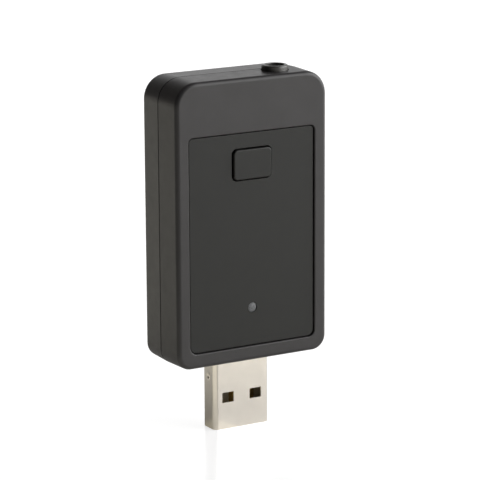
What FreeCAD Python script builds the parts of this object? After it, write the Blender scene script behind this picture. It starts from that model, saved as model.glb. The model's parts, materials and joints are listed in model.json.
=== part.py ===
import FreeCAD
import Part
import math
import os

# A wireless audio transmitter: a two-half moulded case with a USB plug at its lower end,
# a stereo jack in its upper end, and a push button and a status light on its front.
#
# Frame, in millimetres: the origin is the middle of the plug's tip, +Z runs up the plug
# towards the jack, the front face looks along -Y and +X is to the right of it.

Vector = FreeCAD.Vector
X_AXIS = Vector(1, 0, 0)
Y_AXIS = Vector(0, 1, 0)
Z_AXIS = Vector(0, 0, 1)
FULL_TURN = 360
HALF_TURN = 180
QUARTER_TURN = 90

# Case
CASE_WIDTH = 32.5             # across the parting line, where the case is widest
CASE_HEIGHT = 54.4
FRONT_HALF_DEPTH = 6.6        # parting line to front face
REAR_HALF_DEPTH = 6.4         # parting line to rear face
PARTING_FORWARD = 0.25        # the parting line stands this far in front of the plug's middle
TOP_CORNER_RADIUS = 4.6
BOTTOM_CORNER_RADIUS = 3.0
DRAFT_DEG = 1.5               # both halves narrow away from the parting line
WALL = 1.3
FRONT_EDGE_ROUND = 0.8
REAR_EDGE_ROUND = 0.9
PARTING_GROOVE = 0.2          # shadow gap between the halves
LIP_THICKNESS = 0.65
LIP_HEIGHT = 0.9
LIP_CLEARANCE = 0.1

# Front panel, an inlaid plate in a pocket of the front face
PANEL_SIDE_BORDER = 2.75      # case side to pocket side
PANEL_BOTTOM_BORDER = 3.0
PANEL_TOP_BORDER = 10.4
PANEL_TOP_RADIUS = 0.9
PANEL_BOTTOM_RADIUS = 1.4
PANEL_RECESS = 0.55           # panel face below the front face
PANEL_THICKNESS = 0.45
PANEL_GAP = 0.15              # groove round the panel
POCKET_FLOOR = 0.7            # wall left behind the panel
POCKET_EDGE_BEVEL = 0.15

# Push button
BUTTON_WIDTH = 8.1
BUTTON_HEIGHT = 5.7
BUTTON_RADIUS = 0.85
BUTTON_GAP = 0.25             # round the button in its opening
BUTTON_PROUD = 0.7            # button face above the panel face
BUTTON_EDGE_BEVEL = 0.3
BUTTON_BELOW_PANEL_TOP = 6.0
BUTTON_SKIN = 0.9
BUTTON_EAR_REACH = 0.95       # retaining ears beyond the button's sides, behind the wall
BUTTON_EAR_HEIGHT = 4.2
BUTTON_EAR_THICKNESS = 0.7
BUTTON_EAR_GAP = 0.05
BUTTON_TRAVEL = 0.25
BUTTON_POST_WIDTH = 2.4

# Status light
LIGHT_RADIUS = 0.9
LIGHT_GAP = 0.05
LIGHT_ABOVE_PANEL_BOTTOM = 7.4
LIGHT_FLANGE_WIDTH = 3.2
LIGHT_FLANGE_THICKNESS = 0.7
LIGHT_TO_LAMP = 0.3

# USB plug
PLUG_WIDTH = 12.0
PLUG_THICKNESS = 4.5
PLUG_LENGTH = 18.75
PLUG_EXPOSED = 14.0           # tip to the case's lower end
PLUG_SHEET = 0.3
PLUG_CORNER_RADIUS = 0.9
PLUG_CLEARANCE = 0.15         # in the case's slot
PLUG_SEAM = 0.1
DOVETAIL_LOW = 8.0            # dovetail's neck, from the tip
DOVETAIL_HIGH = 10.5
DOVETAIL_DEPTH = 1.2
DOVETAIL_FLARE = 0.4
LATCH_HOLE_WIDTH = 2.5
LATCH_HOLE_HEIGHT = 2.0
LATCH_HOLE_FROM_TIP = 5.16
LATCH_HOLE_SPACING = 6.0
PIP_FROM_TIP = 10.0
PIP_HEIGHT = 0.25
PIP_WIDTH = 0.65
PIP_LENGTH = 1.1
TONGUE_FROM_TIP = 0.4
TONGUE_FACE_BACK = 0.1        # tongue face behind the plug's middle
PLUG_CAVITY_DEPTH = 12.0
INSULATOR_GAP = 0.05
INSULATOR_SHORT = 0.15        # insulator ends inside the plug's rear edge
LEG_WIDTH = 2.2
LEG_LENGTH = 2.8
LEG_CLEARANCE = 0.15

# Plug contacts
CONTACT_WIDTH = 1.0
CONTACT_THICKNESS = 0.25
CONTACT_PROUD = 0.05          # contact face in front of the tongue face
CONTACT_SIDE_GAP = 0.04
CONTACT_TAIL = 2.2            # on the board
CONTACT_INNER_X = 1.0
CONTACT_OUTER_X = 3.5
POWER_CONTACT_FROM_TIP = 1.4
DATA_CONTACT_FROM_TIP = 2.4

# Circuit board
BOARD_THICKNESS = 1.0
BOARD_SIDE_GAP = 1.2          # case wall to board edge, room for the snap tabs
BOARD_TOP_GAP = 0.7
BOARD_TO_PLUG = 0.25
BOARD_TOP_CORNER = 2.0        # corners cut off at 45 degrees
BOARD_BOTTOM_CORNER = 1.0

# Locating posts
POST_RADIUS = 2.0
POST_PIN_RADIUS = 1.0
POST_PIN_GAP = 0.1
POST_PIN_REACH = 1.6          # pin beyond the board's front
POST_FROM_BOARD_SIDE = 2.6
POST_FROM_BOARD_BOTTOM = 5.0
POST_BELOW_JACK = 4.5
POST_SOCKET_DEPTH = 2.4

# Plug saddle ribs and snap tabs
SADDLE_MARGIN = 2.2           # rib beyond the plug's sides
SADDLE_THICKNESS = 1.2
SADDLE_ABOVE_FLOOR = 0.9
TAB_WIDTH = 4.0
TAB_THICKNESS = 0.75
TAB_WALL_GAP = 0.15
TAB_ROOT = 3.0                # tab root in front of the parting line
TAB_REACH = 2.9               # tab end behind the parting line
HOOK_START = 1.7
HOOK_HEIGHT = 0.5
HOOK_CLEARANCE = 0.1
TAB_FROM_BOTTOM = 18.0
TAB_SPACING = 13.0

# Audio jack
JACK_FROM_SIDE = 8.75         # case side to the jack's axis
JACK_AXIS_TO_BOARD = 2.6
JACK_BODY_WIDTH = 6.0
JACK_BODY_FRONT = 2.6         # axis to the body's front
JACK_BODY_LENGTH = 11.7
JACK_TOP_GAP = 0.2
COLLAR_RADIUS = 2.5
COLLAR_HEIGHT = 0.95          # above the case's upper end
COLLAR_CLEARANCE = 0.15
COLLAR_EDGE_BEVEL = 0.25
BORE_RADIUS = 1.8
BORE_CHAMFER = 0.2
SPRING_THICKNESS = 0.25
SPRING_WIDTH = 1.6
SPRING_LENGTH = 2.8
SPRING_BITE = 0.15            # how far a relaxed spring stands into the bore
SPRING_GROOVE = 0.45
SPRING_SIDE_GAP = 0.15
SPRING_TAIL_WIDTH = 1.2
SPRING_BEND = 0.3
SLEEVE_SPRING_DEPTH = 3.0     # each spring's middle below the body's upper end
RING_SPRING_DEPTH = 6.4
TIP_SPRING_DEPTH = 9.6

# Tactile switch
SWITCH_SIZE = 6.0
SWITCH_BASE_DEPTH = 3.0
SWITCH_WELL_RADIUS = 2.3
SWITCH_WELL_FLOOR = 1.0
SWITCH_COVER_THICKNESS = 0.3
SWITCH_ARM_WIDTH = 2.4
SWITCH_ARM_LENGTH = 1.8
PLUNGER_RADIUS = 1.7
PLUNGER_GAP = 0.15
PLUNGER_FLANGE = 0.4
PLUNGER_FLANGE_THICKNESS = 0.8
PLUNGER_FLANGE_GAP = 0.05
PLUNGER_NUB_WIDTH = 1.4
DOME_LENGTH = 3.8
DOME_CROWN = 1.6
DOME_LEG_WIDTH = 1.1
DOME_HEIGHT = 0.5
DOME_THICKNESS = 0.12
DOME_CLEARANCE = 0.3          # nub above the dome, more than the travel
TERMINAL_WIDTH = 0.7
TERMINAL_THICKNESS = 0.2
TERMINAL_HEIGHT = 1.1
TERMINAL_FOOT = 1.1
TERMINAL_PITCH = 4.5

# Parts on the board's front: each middle's distance in from the board's left or right side,
# and up from its lower edge
BLUETOOTH_CHIP_FROM_LEFT = (7.25, 18.0)
BLUETOOTH_CHIP_SIZE = (6.0, 6.0, 0.9)
CONVERTER_CHIP_FROM_RIGHT = (7.45, 28.0)
CONVERTER_CHIP_SIZE = (4.0, 4.0, 0.85)
MEMORY_FROM_RIGHT = (7.95, 17.5)
MEMORY_SIZE = (3.9, 4.9, 1.5)
REGULATOR_FROM_RIGHT = (7.25, 8.5)
REGULATOR_SIZE = (1.6, 2.9, 1.1)
CRYSTAL_FROM_LEFT = (7.25, 24.2)
CRYSTAL_SIZE = (3.2, 2.5, 0.8)
CRYSTAL_FLANGE_WIDTH = 0.3
CRYSTAL_FLANGE_THICKNESS = 0.2
INDUCTOR_FROM_LEFT = (7.25, 9.6)
INDUCTOR_SIZE = (4.0, 4.0, 1.8)
INDUCTOR_CHEEK = 0.45         # foot and head, each side of the winding
FUSE_FROM_LEFT = (7.35, 4.6)
FUSE_SIZE = (3.2, 1.6, 0.7)
ANTENNA_FROM_LEFT = 5.75
ANTENNA_BELOW_BOARD_TOP = 3.4
ANTENNA_SIZE = (7.0, 2.0, 1.2)
LAMP_SIZE = (1.6, 0.8, 0.6)
SMALL_CAPACITOR_SIZE = (1.6, 0.8, 0.8)
SMALL_CAPACITORS_FROM_LEFT = (12.15, 13.0)
SMALL_CAPACITOR_PITCH = 2.2
SMALL_CAPACITOR_COUNT = 4
COUPLING_CAPACITOR_SIZE = (3.2, 1.6, 1.4)
COUPLING_CAPACITORS_FROM_RIGHT = (5.35, 23.6)
COUPLING_CAPACITOR_PITCH = 4.0
COUPLING_CAPACITOR_COUNT = 2
RESISTOR_SIZE = (1.0, 0.5, 0.4)
RESISTORS_FROM_RIGHT = (2.55, 11.5)
RESISTOR_PITCH = 1.7
RESISTOR_COUNT = 4
LEAD_THICKNESS = 0.2
LEAD_REACH = 1.0              # package side to lead end
MEMORY_LEAD_PITCH = 1.27
MEMORY_LEADS_A_SIDE = 4
REGULATOR_LEAD_PITCH = 0.95
PACKAGE_BEVEL = 0.15
END_CAP = 0.3
END_CAP_PROUD = 0.04

# Places worked out from the sizes above
DRAFT = math.tan(math.radians(DRAFT_DEG))
PARTING_Y = -PARTING_FORWARD
FRONT_Y = PARTING_Y - FRONT_HALF_DEPTH
REAR_Y = PARTING_Y + REAR_HALF_DEPTH
CASE_BOTTOM_Z = PLUG_EXPOSED
CASE_TOP_Z = CASE_BOTTOM_Z + CASE_HEIGHT
INNER_X = CASE_WIDTH / 2 - WALL
PANEL_FACE_Y = FRONT_Y + PANEL_RECESS
PANEL_BACK_Y = PANEL_FACE_Y + PANEL_THICKNESS
FRONT_INNER_Y = PANEL_BACK_Y + POCKET_FLOOR
REAR_INNER_Y = REAR_Y - WALL
PANEL_BOTTOM_Z = CASE_BOTTOM_Z + PANEL_BOTTOM_BORDER
PANEL_TOP_Z = CASE_TOP_Z - PANEL_TOP_BORDER
PANEL_HALF_WIDTH = CASE_WIDTH / 2 - PANEL_SIDE_BORDER
BUTTON_Z = PANEL_TOP_Z - BUTTON_BELOW_PANEL_TOP
BUTTON_FACE_Y = PANEL_FACE_Y - BUTTON_PROUD
EAR_FRONT_Y = FRONT_INNER_Y + BUTTON_EAR_GAP
EAR_BACK_Y = EAR_FRONT_Y + BUTTON_EAR_THICKNESS
LIGHT_Z = PANEL_BOTTOM_Z + LIGHT_ABOVE_PANEL_BOTTOM
CONTACT_FACE_Y = TONGUE_FACE_BACK - CONTACT_PROUD
BOARD_FRONT_Y = CONTACT_FACE_Y + CONTACT_THICKNESS
BOARD_BACK_Y = BOARD_FRONT_Y + BOARD_THICKNESS
BOARD_HALF_WIDTH = INNER_X - BOARD_SIDE_GAP
BOARD_BOTTOM_Z = PLUG_LENGTH + BOARD_TO_PLUG
BOARD_TOP_Z = CASE_TOP_Z - WALL - BOARD_TOP_GAP
JACK_X = CASE_WIDTH / 2 - JACK_FROM_SIDE
JACK_Y = BOARD_FRONT_Y - JACK_AXIS_TO_BOARD
JACK_TOP_Z = CASE_TOP_Z - WALL - JACK_TOP_GAP
JACK_BOTTOM_Z = JACK_TOP_Z - JACK_BODY_LENGTH
COLLAR_TOP_Z = CASE_TOP_Z + COLLAR_HEIGHT
POST_X = BOARD_HALF_WIDTH - POST_FROM_BOARD_SIDE
LOWER_POST_Z = BOARD_BOTTOM_Z + POST_FROM_BOARD_BOTTOM
UPPER_POST_Z = JACK_BOTTOM_Z - POST_BELOW_JACK
POST_PLACES = [(-POST_X, UPPER_POST_Z), (POST_X, LOWER_POST_Z)]
SADDLE_Z = CASE_BOTTOM_Z + WALL + SADDLE_ABOVE_FLOOR
SWITCH_FRONT_Y = BOARD_FRONT_Y - SWITCH_BASE_DEPTH
SWITCH_FLOOR_Y = BOARD_FRONT_Y - SWITCH_WELL_FLOOR
DOME_TOP_Y = SWITCH_FLOOR_Y - DOME_HEIGHT
NUB_END_Y = DOME_TOP_Y - DOME_CLEARANCE
COVER_FACE_Y = SWITCH_FRONT_Y - SWITCH_COVER_THICKNESS
PLUNGER_FACE_Y = COVER_FACE_Y - BUTTON_TRAVEL - DOME_CLEARANCE
LAMP_FACE_Y = BOARD_FRONT_Y - LAMP_SIZE[2]


# Basic forms

def rounded_outline(x_low, x_high, z_low, z_high, lower_radius, upper_radius, y):
    """Closed wire in the plane at y: a rectangle with its own lower and upper corner radii."""
    corners = [
        (x_high - lower_radius, z_low + lower_radius, lower_radius, -QUARTER_TURN),
        (x_high - upper_radius, z_high - upper_radius, upper_radius, 0),
        (x_low + upper_radius, z_high - upper_radius, upper_radius, QUARTER_TURN),
        (x_low + lower_radius, z_low + lower_radius, lower_radius, HALF_TURN),
    ]
    arcs = []
    for centre_x, centre_z, radius, start in corners:
        turns = [math.radians(start + turn) for turn in (0, QUARTER_TURN / 2, QUARTER_TURN)]
        points = [
            Vector(centre_x + radius * math.cos(turn), y, centre_z + radius * math.sin(turn))
            for turn in turns
        ]
        arcs.append(Part.Arc(*points).toShape())
    edges = []
    for arc, following in zip(arcs, arcs[1:] + arcs[:1]):
        edges.append(arc)
        edges.append(Part.LineSegment(arc.Vertexes[-1].Point, following.Vertexes[0].Point).toShape())
    return Part.Wire(edges)


def rounded_plate(half_width, z_low, z_high, lower_radius, upper_radius, y_front, y_back):
    """Plate between two planes of y, with a rounded outline that is centred on x."""
    wire = rounded_outline(-half_width, half_width, z_low, z_high, lower_radius, upper_radius, y_front)
    return Part.Face(wire).extrude(Y_AXIS * (y_back - y_front))


def rounded_bar(half_width, y_low, y_high, radius, z_low, z_high):
    """Upright bar with a rounded rectangular section, centred on x."""
    bar = Part.makeBox(2 * half_width, y_high - y_low, z_high - z_low, Vector(-half_width, y_low, z_low))
    upright = [edge for edge in bar.Edges if abs(edge.tangentAt(edge.FirstParameter).z) > 0.9]
    return bar.makeFillet(radius, upright)


def block(x_low, x_high, y_low, y_high, z_low, z_high):
    """Plain rectangular block between its lowest and highest corners."""
    size = (x_high - x_low, y_high - y_low, z_high - z_low)
    return Part.makeBox(*size, Vector(x_low, y_low, z_low))


def rod(x, z, radius, y_front, y_back):
    """Round rod along y."""
    return Part.makeCylinder(radius, y_back - y_front, Vector(x, y_front, z), Y_AXIS)


def prism(points, sweep):
    """Solid of the closed outline through the points, swept along a vector."""
    return Part.Face(Part.makePolygon(points + points[:1])).extrude(sweep)


def edges_in_plane(shape, axis, value):
    """Edges that lie in the plane where the named coordinate has the value."""
    tolerance = 1e-5
    found = []
    for edge in shape.Edges:
        middle = edge.valueAt((edge.FirstParameter + edge.LastParameter) / 2)
        points = [vertex.Point for vertex in edge.Vertexes] + [middle]
        if all(abs(getattr(point, axis) - value) < tolerance for point in points):
            found.append(edge)
    return found


# Case

def case_outline(inset, y):
    """Case outline in the plane at y, drawn in from its widest form by the inset."""
    return rounded_outline(
        inset - CASE_WIDTH / 2, CASE_WIDTH / 2 - inset,
        CASE_BOTTOM_Z + inset, CASE_TOP_Z - inset,
        BOTTOM_CORNER_RADIUS - inset, TOP_CORNER_RADIUS - inset, y,
    )


def drafted_half(y_joint, y_face):
    """Outer form of a case half: a loft that narrows with its distance from the parting line."""
    sections = [case_outline(DRAFT * abs(y - PARTING_Y), y) for y in (y_joint, y_face)]
    return Part.makeLoft(sections, True, True)


def case_core(inset, y_start, y_end):
    """Straight solid of the case's outline, drawn in by the inset, between two planes of y."""
    return Part.Face(case_outline(inset, y_start)).extrude(Y_AXIS * (y_end - y_start))


def lip_ring(outer_inset, y_start, y_end):
    """Ring along the inner part of the case wall, from the given inset to the wall's inner face."""
    return case_core(outer_inset, y_start, y_end).cut(case_core(WALL, y_start, y_end))


def plug_slot():
    """Space that the case leaves round the plug, from below the case to above the saddle ribs."""
    return rounded_bar(
        PLUG_WIDTH / 2 + PLUG_CLEARANCE,
        -PLUG_THICKNESS / 2 - PLUG_CLEARANCE, PLUG_THICKNESS / 2 + PLUG_CLEARANCE,
        PLUG_CORNER_RADIUS + PLUG_CLEARANCE,
        CASE_BOTTOM_Z - WALL, SADDLE_Z + 2 * SADDLE_THICKNESS,
    )


def collar_hole():
    """Round hole through the case's upper wall for the jack's collar."""
    radius = COLLAR_RADIUS + COLLAR_CLEARANCE
    return Part.makeCylinder(radius, 3 * WALL, Vector(JACK_X, JACK_Y, CASE_TOP_Z - 2 * WALL), Z_AXIS)


def saddle(y_front, y_back):
    """Rib across the case that carries the plug, before the plug's slot is cut from it."""
    half_width = PLUG_WIDTH / 2 + SADDLE_MARGIN
    return block(-half_width, half_width, y_front, y_back, SADDLE_Z, SADDLE_Z + SADDLE_THICKNESS)


def tab_heights():
    """Lower ends of the snap tabs along the case's sides."""
    first = CASE_BOTTOM_Z + TAB_FROM_BOTTOM - TAB_WIDTH / 2
    return [first, first + TAB_SPACING]


def snap_tab(side, z_low):
    """Cantilever with a hook that snaps behind the rear half's wall, on one side of the case."""
    outer = INNER_X - TAB_WALL_GAP
    inner = outer - TAB_THICKNESS
    root = INNER_X + LIP_THICKNESS / 2
    profile = [
        (root, -TAB_ROOT),
        (root, LIP_HEIGHT / 2),
        (outer, LIP_HEIGHT),
        (outer, HOOK_START),
        (outer + HOOK_HEIGHT, HOOK_START),
        (outer, TAB_REACH),
        (inner, TAB_REACH),
        (inner, -TAB_ROOT + TAB_THICKNESS),
    ]
    points = [Vector(side * x, PARTING_Y + y, z_low) for x, y in profile]
    return prism(points, Z_AXIS * TAB_WIDTH)


def hook_pocket(side, z_low):
    """Pocket in the rear half's wall that a snap tab's hook springs into."""
    x_inner = side * (INNER_X - WALL / 2)
    x_outer = side * (INNER_X - TAB_WALL_GAP + HOOK_HEIGHT + HOOK_CLEARANCE)
    return block(
        min(x_inner, x_outer), max(x_inner, x_outer),
        PARTING_Y + HOOK_START - HOOK_CLEARANCE, PARTING_Y + TAB_REACH + HOOK_CLEARANCE,
        z_low - HOOK_CLEARANCE, z_low + TAB_WIDTH + HOOK_CLEARANCE,
    )


def button_opening(y_front, y_back):
    """Opening through panel and case wall for the button."""
    return rounded_plate(
        BUTTON_WIDTH / 2 + BUTTON_GAP,
        BUTTON_Z - BUTTON_HEIGHT / 2 - BUTTON_GAP, BUTTON_Z + BUTTON_HEIGHT / 2 + BUTTON_GAP,
        BUTTON_RADIUS + BUTTON_GAP, BUTTON_RADIUS + BUTTON_GAP, y_front, y_back,
    )


def light_opening(y_front, y_back):
    """Hole through panel and case wall for the light pipe."""
    return rod(0, LIGHT_Z, LIGHT_RADIUS + LIGHT_GAP, y_front, y_back)


def panel_pocket():
    """Pocket in the front face for the panel, cut from ahead of the face."""
    return rounded_plate(
        PANEL_HALF_WIDTH, PANEL_BOTTOM_Z, PANEL_TOP_Z,
        PANEL_BOTTOM_RADIUS, PANEL_TOP_RADIUS, FRONT_Y - PANEL_RECESS, PANEL_BACK_Y,
    )


def pocket_rim(shell):
    """Edges of the panel's pocket in the front face."""
    reach = PANEL_HALF_WIDTH + POCKET_EDGE_BEVEL
    low = PANEL_BOTTOM_Z - POCKET_EDGE_BEVEL
    high = PANEL_TOP_Z + POCKET_EDGE_BEVEL
    rim = []
    for edge in edges_in_plane(shell, "y", FRONT_Y):
        box = edge.BoundBox
        if -reach < box.XMin and box.XMax < reach and low < box.ZMin and box.ZMax < high:
            rim.append(edge)
    return rim


def front_shell():
    """Front half: drafted wall, panel pocket, openings, lip, sockets, saddle rib and snap tabs."""
    joint_y = PARTING_Y - PARTING_GROOVE / 2
    outer = drafted_half(joint_y, FRONT_Y)
    outer = outer.makeFillet(FRONT_EDGE_ROUND, edges_in_plane(outer, "y", FRONT_Y))
    shell = outer.cut(case_core(WALL, joint_y, FRONT_INNER_Y))
    shell = shell.cut(panel_pocket())
    shell = shell.makeChamfer(POCKET_EDGE_BEVEL, pocket_rim(shell))
    lip = lip_ring(WALL - LIP_THICKNESS, joint_y - WALL, PARTING_Y + LIP_HEIGHT)
    additions = [lip, saddle(FRONT_INNER_Y - POCKET_FLOOR / 2, joint_y)]
    additions += [snap_tab(side, z) for side in (-1, 1) for z in tab_heights()]
    sockets = []
    for x, z in POST_PLACES:
        additions.append(rod(x, z, POST_RADIUS, FRONT_INNER_Y - POCKET_FLOOR / 2, BOARD_FRONT_Y))
        sockets.append(rod(
            x, z, POST_PIN_RADIUS + POST_PIN_GAP, BOARD_FRONT_Y - POST_SOCKET_DEPTH, BOARD_FRONT_Y,
        ))
    cuts = sockets + [
        plug_slot(),
        collar_hole(),
        button_opening(PANEL_BACK_Y - PANEL_THICKNESS, FRONT_INNER_Y),
        light_opening(PANEL_BACK_Y - PANEL_THICKNESS, FRONT_INNER_Y),
    ]
    return shell.multiFuse(additions).cut(Part.makeCompound(cuts)).removeSplitter()


def rear_shell():
    """Rear half: drafted wall, rebate for the lip, board posts, saddle rib and hook pockets."""
    joint_y = PARTING_Y + PARTING_GROOVE / 2
    outer = drafted_half(joint_y, REAR_Y)
    outer = outer.makeFillet(REAR_EDGE_ROUND, edges_in_plane(outer, "y", REAR_Y))
    shell = outer.cut(case_core(WALL, joint_y, REAR_INNER_Y))
    rebate_end = PARTING_Y + LIP_HEIGHT + LIP_CLEARANCE
    shell = shell.cut(lip_ring(WALL - LIP_THICKNESS - LIP_CLEARANCE, joint_y, rebate_end))
    additions = [saddle(joint_y, REAR_INNER_Y + WALL / 2)]
    for x, z in POST_PLACES:
        additions.append(rod(x, z, POST_RADIUS, BOARD_BACK_Y, REAR_INNER_Y + WALL / 2))
        additions.append(rod(x, z, POST_PIN_RADIUS, BOARD_FRONT_Y - POST_PIN_REACH, BOARD_BACK_Y))
    cuts = [plug_slot(), collar_hole()]
    cuts += [hook_pocket(side, z) for side in (-1, 1) for z in tab_heights()]
    return shell.multiFuse(additions).cut(Part.makeCompound(cuts)).removeSplitter()


def front_panel():
    """Inlaid plate of the front face, with its openings for the button and the light."""
    plate = rounded_plate(
        PANEL_HALF_WIDTH - PANEL_GAP, PANEL_BOTTOM_Z + PANEL_GAP, PANEL_TOP_Z - PANEL_GAP,
        PANEL_BOTTOM_RADIUS - PANEL_GAP, PANEL_TOP_RADIUS - PANEL_GAP, PANEL_FACE_Y, PANEL_BACK_Y,
    )
    plate = plate.cut(button_opening(PANEL_FACE_Y - WALL, PANEL_BACK_Y + WALL))
    return plate.cut(light_opening(PANEL_FACE_Y - WALL, PANEL_BACK_Y + WALL))


# Button and light

def push_button():
    """Hollow moulded button with two retaining ears behind the wall and a post to the switch."""
    cap = rounded_plate(
        BUTTON_WIDTH / 2, BUTTON_Z - BUTTON_HEIGHT / 2, BUTTON_Z + BUTTON_HEIGHT / 2,
        BUTTON_RADIUS, BUTTON_RADIUS, BUTTON_FACE_Y, EAR_BACK_Y,
    )
    cap = cap.makeChamfer(BUTTON_EDGE_BEVEL, edges_in_plane(cap, "y", BUTTON_FACE_Y))
    ear_x = BUTTON_WIDTH / 2 + BUTTON_EAR_REACH
    ears = block(
        -ear_x, ear_x, EAR_FRONT_Y, EAR_BACK_Y,
        BUTTON_Z - BUTTON_EAR_HEIGHT / 2, BUTTON_Z + BUTTON_EAR_HEIGHT / 2,
    )
    hollow_x = BUTTON_WIDTH / 2 - BUTTON_SKIN
    hollow_z = BUTTON_HEIGHT / 2 - BUTTON_SKIN
    floor_y = BUTTON_FACE_Y + BUTTON_SKIN
    hollow = block(-hollow_x, hollow_x, floor_y, EAR_BACK_Y, BUTTON_Z - hollow_z, BUTTON_Z + hollow_z)
    half_post = BUTTON_POST_WIDTH / 2
    post = block(-half_post, half_post, floor_y, PLUNGER_FACE_Y, BUTTON_Z - half_post, BUTTON_Z + half_post)
    return cap.fuse(ears).cut(hollow).fuse(post).removeSplitter()


def light_pipe():
    """Clear rod that brings the lamp's light to the panel's face, with a square flange."""
    stem = rod(0, LIGHT_Z, LIGHT_RADIUS, PANEL_FACE_Y, LAMP_FACE_Y - LIGHT_TO_LAMP)
    half = LIGHT_FLANGE_WIDTH / 2
    flange_end = FRONT_INNER_Y + LIGHT_FLANGE_THICKNESS
    flange = block(-half, half, FRONT_INNER_Y, flange_end, LIGHT_Z - half, LIGHT_Z + half)
    return stem.fuse(flange).removeSplitter()


# USB plug

def usb_shell():
    """Folded sheet-metal sleeve: latch holes, dovetailed seam at the rear, side pips and legs."""
    half_width = PLUG_WIDTH / 2
    half_depth = PLUG_THICKNESS / 2
    outer = rounded_bar(half_width, -half_depth, half_depth, PLUG_CORNER_RADIUS, 0, PLUG_LENGTH)
    inner = rounded_bar(
        half_width - PLUG_SHEET, PLUG_SHEET - half_depth, half_depth - PLUG_SHEET,
        PLUG_CORNER_RADIUS - PLUG_SHEET, -PLUG_SHEET, PLUG_LENGTH + PLUG_SHEET,
    )
    pips = [side_pip(side) for side in (-1, 1)]
    legs = []
    for side in (-1, 1):
        x_outer = side * half_width
        x_inner = side * (half_width - PLUG_SHEET)
        legs.append(block(
            min(x_inner, x_outer), max(x_inner, x_outer),
            BOARD_BACK_Y - LEG_WIDTH, BOARD_BACK_Y,
            PLUG_LENGTH - PLUG_SHEET, PLUG_LENGTH + LEG_LENGTH,
        ))
    sleeve = outer.multiFuse(pips).cut(inner).multiFuse(legs)
    cuts = [plug_seam()]
    for x in (-LATCH_HOLE_SPACING / 2, LATCH_HOLE_SPACING / 2):
        cuts.append(block(
            x - LATCH_HOLE_WIDTH / 2, x + LATCH_HOLE_WIDTH / 2, -PLUG_THICKNESS, PLUG_THICKNESS,
            LATCH_HOLE_FROM_TIP, LATCH_HOLE_FROM_TIP + LATCH_HOLE_HEIGHT,
        ))
    return sleeve.cut(Part.makeCompound(cuts)).removeSplitter()


def side_pip(side):
    """Small pip pressed out of a side of the sleeve: a plate with sloped ends."""
    x_foot = side * PLUG_WIDTH / 2
    x_crown = x_foot + side * PIP_HEIGHT
    half_length = PIP_LENGTH / 2
    profile = [
        (x_foot, -half_length), (x_crown, PIP_HEIGHT - half_length),
        (x_crown, half_length - PIP_HEIGHT), (x_foot, half_length),
    ]
    points = [Vector(x, -PIP_WIDTH / 2, PIP_FROM_TIP + z) for x, z in profile]
    return prism(points, Y_AXIS * PIP_WIDTH)


def plug_seam():
    """Narrow cut where the folded sheet meets at the rear, with a dovetail halfway up."""
    right_side = [
        (PLUG_WIDTH, -PLUG_SHEET), (PLUG_WIDTH, PLUG_LENGTH + PLUG_SHEET),
        (0, PLUG_LENGTH + PLUG_SHEET), (0, DOVETAIL_HIGH),
        (-DOVETAIL_DEPTH, DOVETAIL_HIGH + DOVETAIL_FLARE),
        (-DOVETAIL_DEPTH, DOVETAIL_LOW - DOVETAIL_FLARE),
        (0, DOVETAIL_LOW), (0, -PLUG_SHEET),
    ]
    points = [Vector(x, PLUG_SHEET, z) for x, z in right_side]
    face = Part.Face(Part.makePolygon(points + points[:1]))
    grown = face.makeOffset2D(PLUG_SEAM, join=2)
    return grown.cut(face).extrude(Y_AXIS * PLUG_THICKNESS)


def contact_places():
    """Each contact's name, its x and how far it starts from the plug's tip."""
    return [
        ("usb_supply_contact", -CONTACT_OUTER_X, POWER_CONTACT_FROM_TIP),
        ("usb_data_minus_contact", -CONTACT_INNER_X, DATA_CONTACT_FROM_TIP),
        ("usb_data_plus_contact", CONTACT_INNER_X, DATA_CONTACT_FROM_TIP),
        ("usb_ground_contact", CONTACT_OUTER_X, POWER_CONTACT_FROM_TIP),
    ]


def usb_contact(x, from_tip):
    """Flat contact strip on the tongue, bevelled at its front end, soldered to the board behind."""
    bevel = CONTACT_THICKNESS / 2
    profile = [
        (BOARD_FRONT_Y, from_tip),
        (CONTACT_FACE_Y + bevel, from_tip),
        (CONTACT_FACE_Y, from_tip + 2 * bevel),
        (CONTACT_FACE_Y, BOARD_BOTTOM_Z + CONTACT_TAIL),
        (BOARD_FRONT_Y, BOARD_BOTTOM_Z + CONTACT_TAIL),
    ]
    points = [Vector(x - CONTACT_WIDTH / 2, y, z) for y, z in profile]
    return prism(points, X_AXIS * CONTACT_WIDTH)


def usb_insulator():
    """Moulded block that fills the rear of the sleeve, with the tongue that carries the contacts."""
    half_width = PLUG_WIDTH / 2 - PLUG_SHEET - INSULATOR_GAP
    half_depth = PLUG_THICKNESS / 2 - PLUG_SHEET - INSULATOR_GAP
    radius = PLUG_CORNER_RADIUS - PLUG_SHEET
    end_z = PLUG_LENGTH - INSULATOR_SHORT
    body = rounded_bar(half_width, -half_depth, half_depth, radius, TONGUE_FROM_TIP, end_z)
    mouth = block(
        -PLUG_WIDTH, PLUG_WIDTH, -PLUG_THICKNESS, TONGUE_FACE_BACK, 0, PLUG_CAVITY_DEPTH,
    )
    grooves = []
    for _, x, from_tip in contact_places():
        grooves.append(block(
            x - CONTACT_WIDTH / 2 - CONTACT_SIDE_GAP, x + CONTACT_WIDTH / 2 + CONTACT_SIDE_GAP,
            CONTACT_FACE_Y - CONTACT_SIDE_GAP, BOARD_FRONT_Y,
            from_tip - CONTACT_SIDE_GAP, PLUG_LENGTH,
        ))
    return body.cut(Part.makeCompound([mouth] + grooves)).removeSplitter()


# Board

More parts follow.
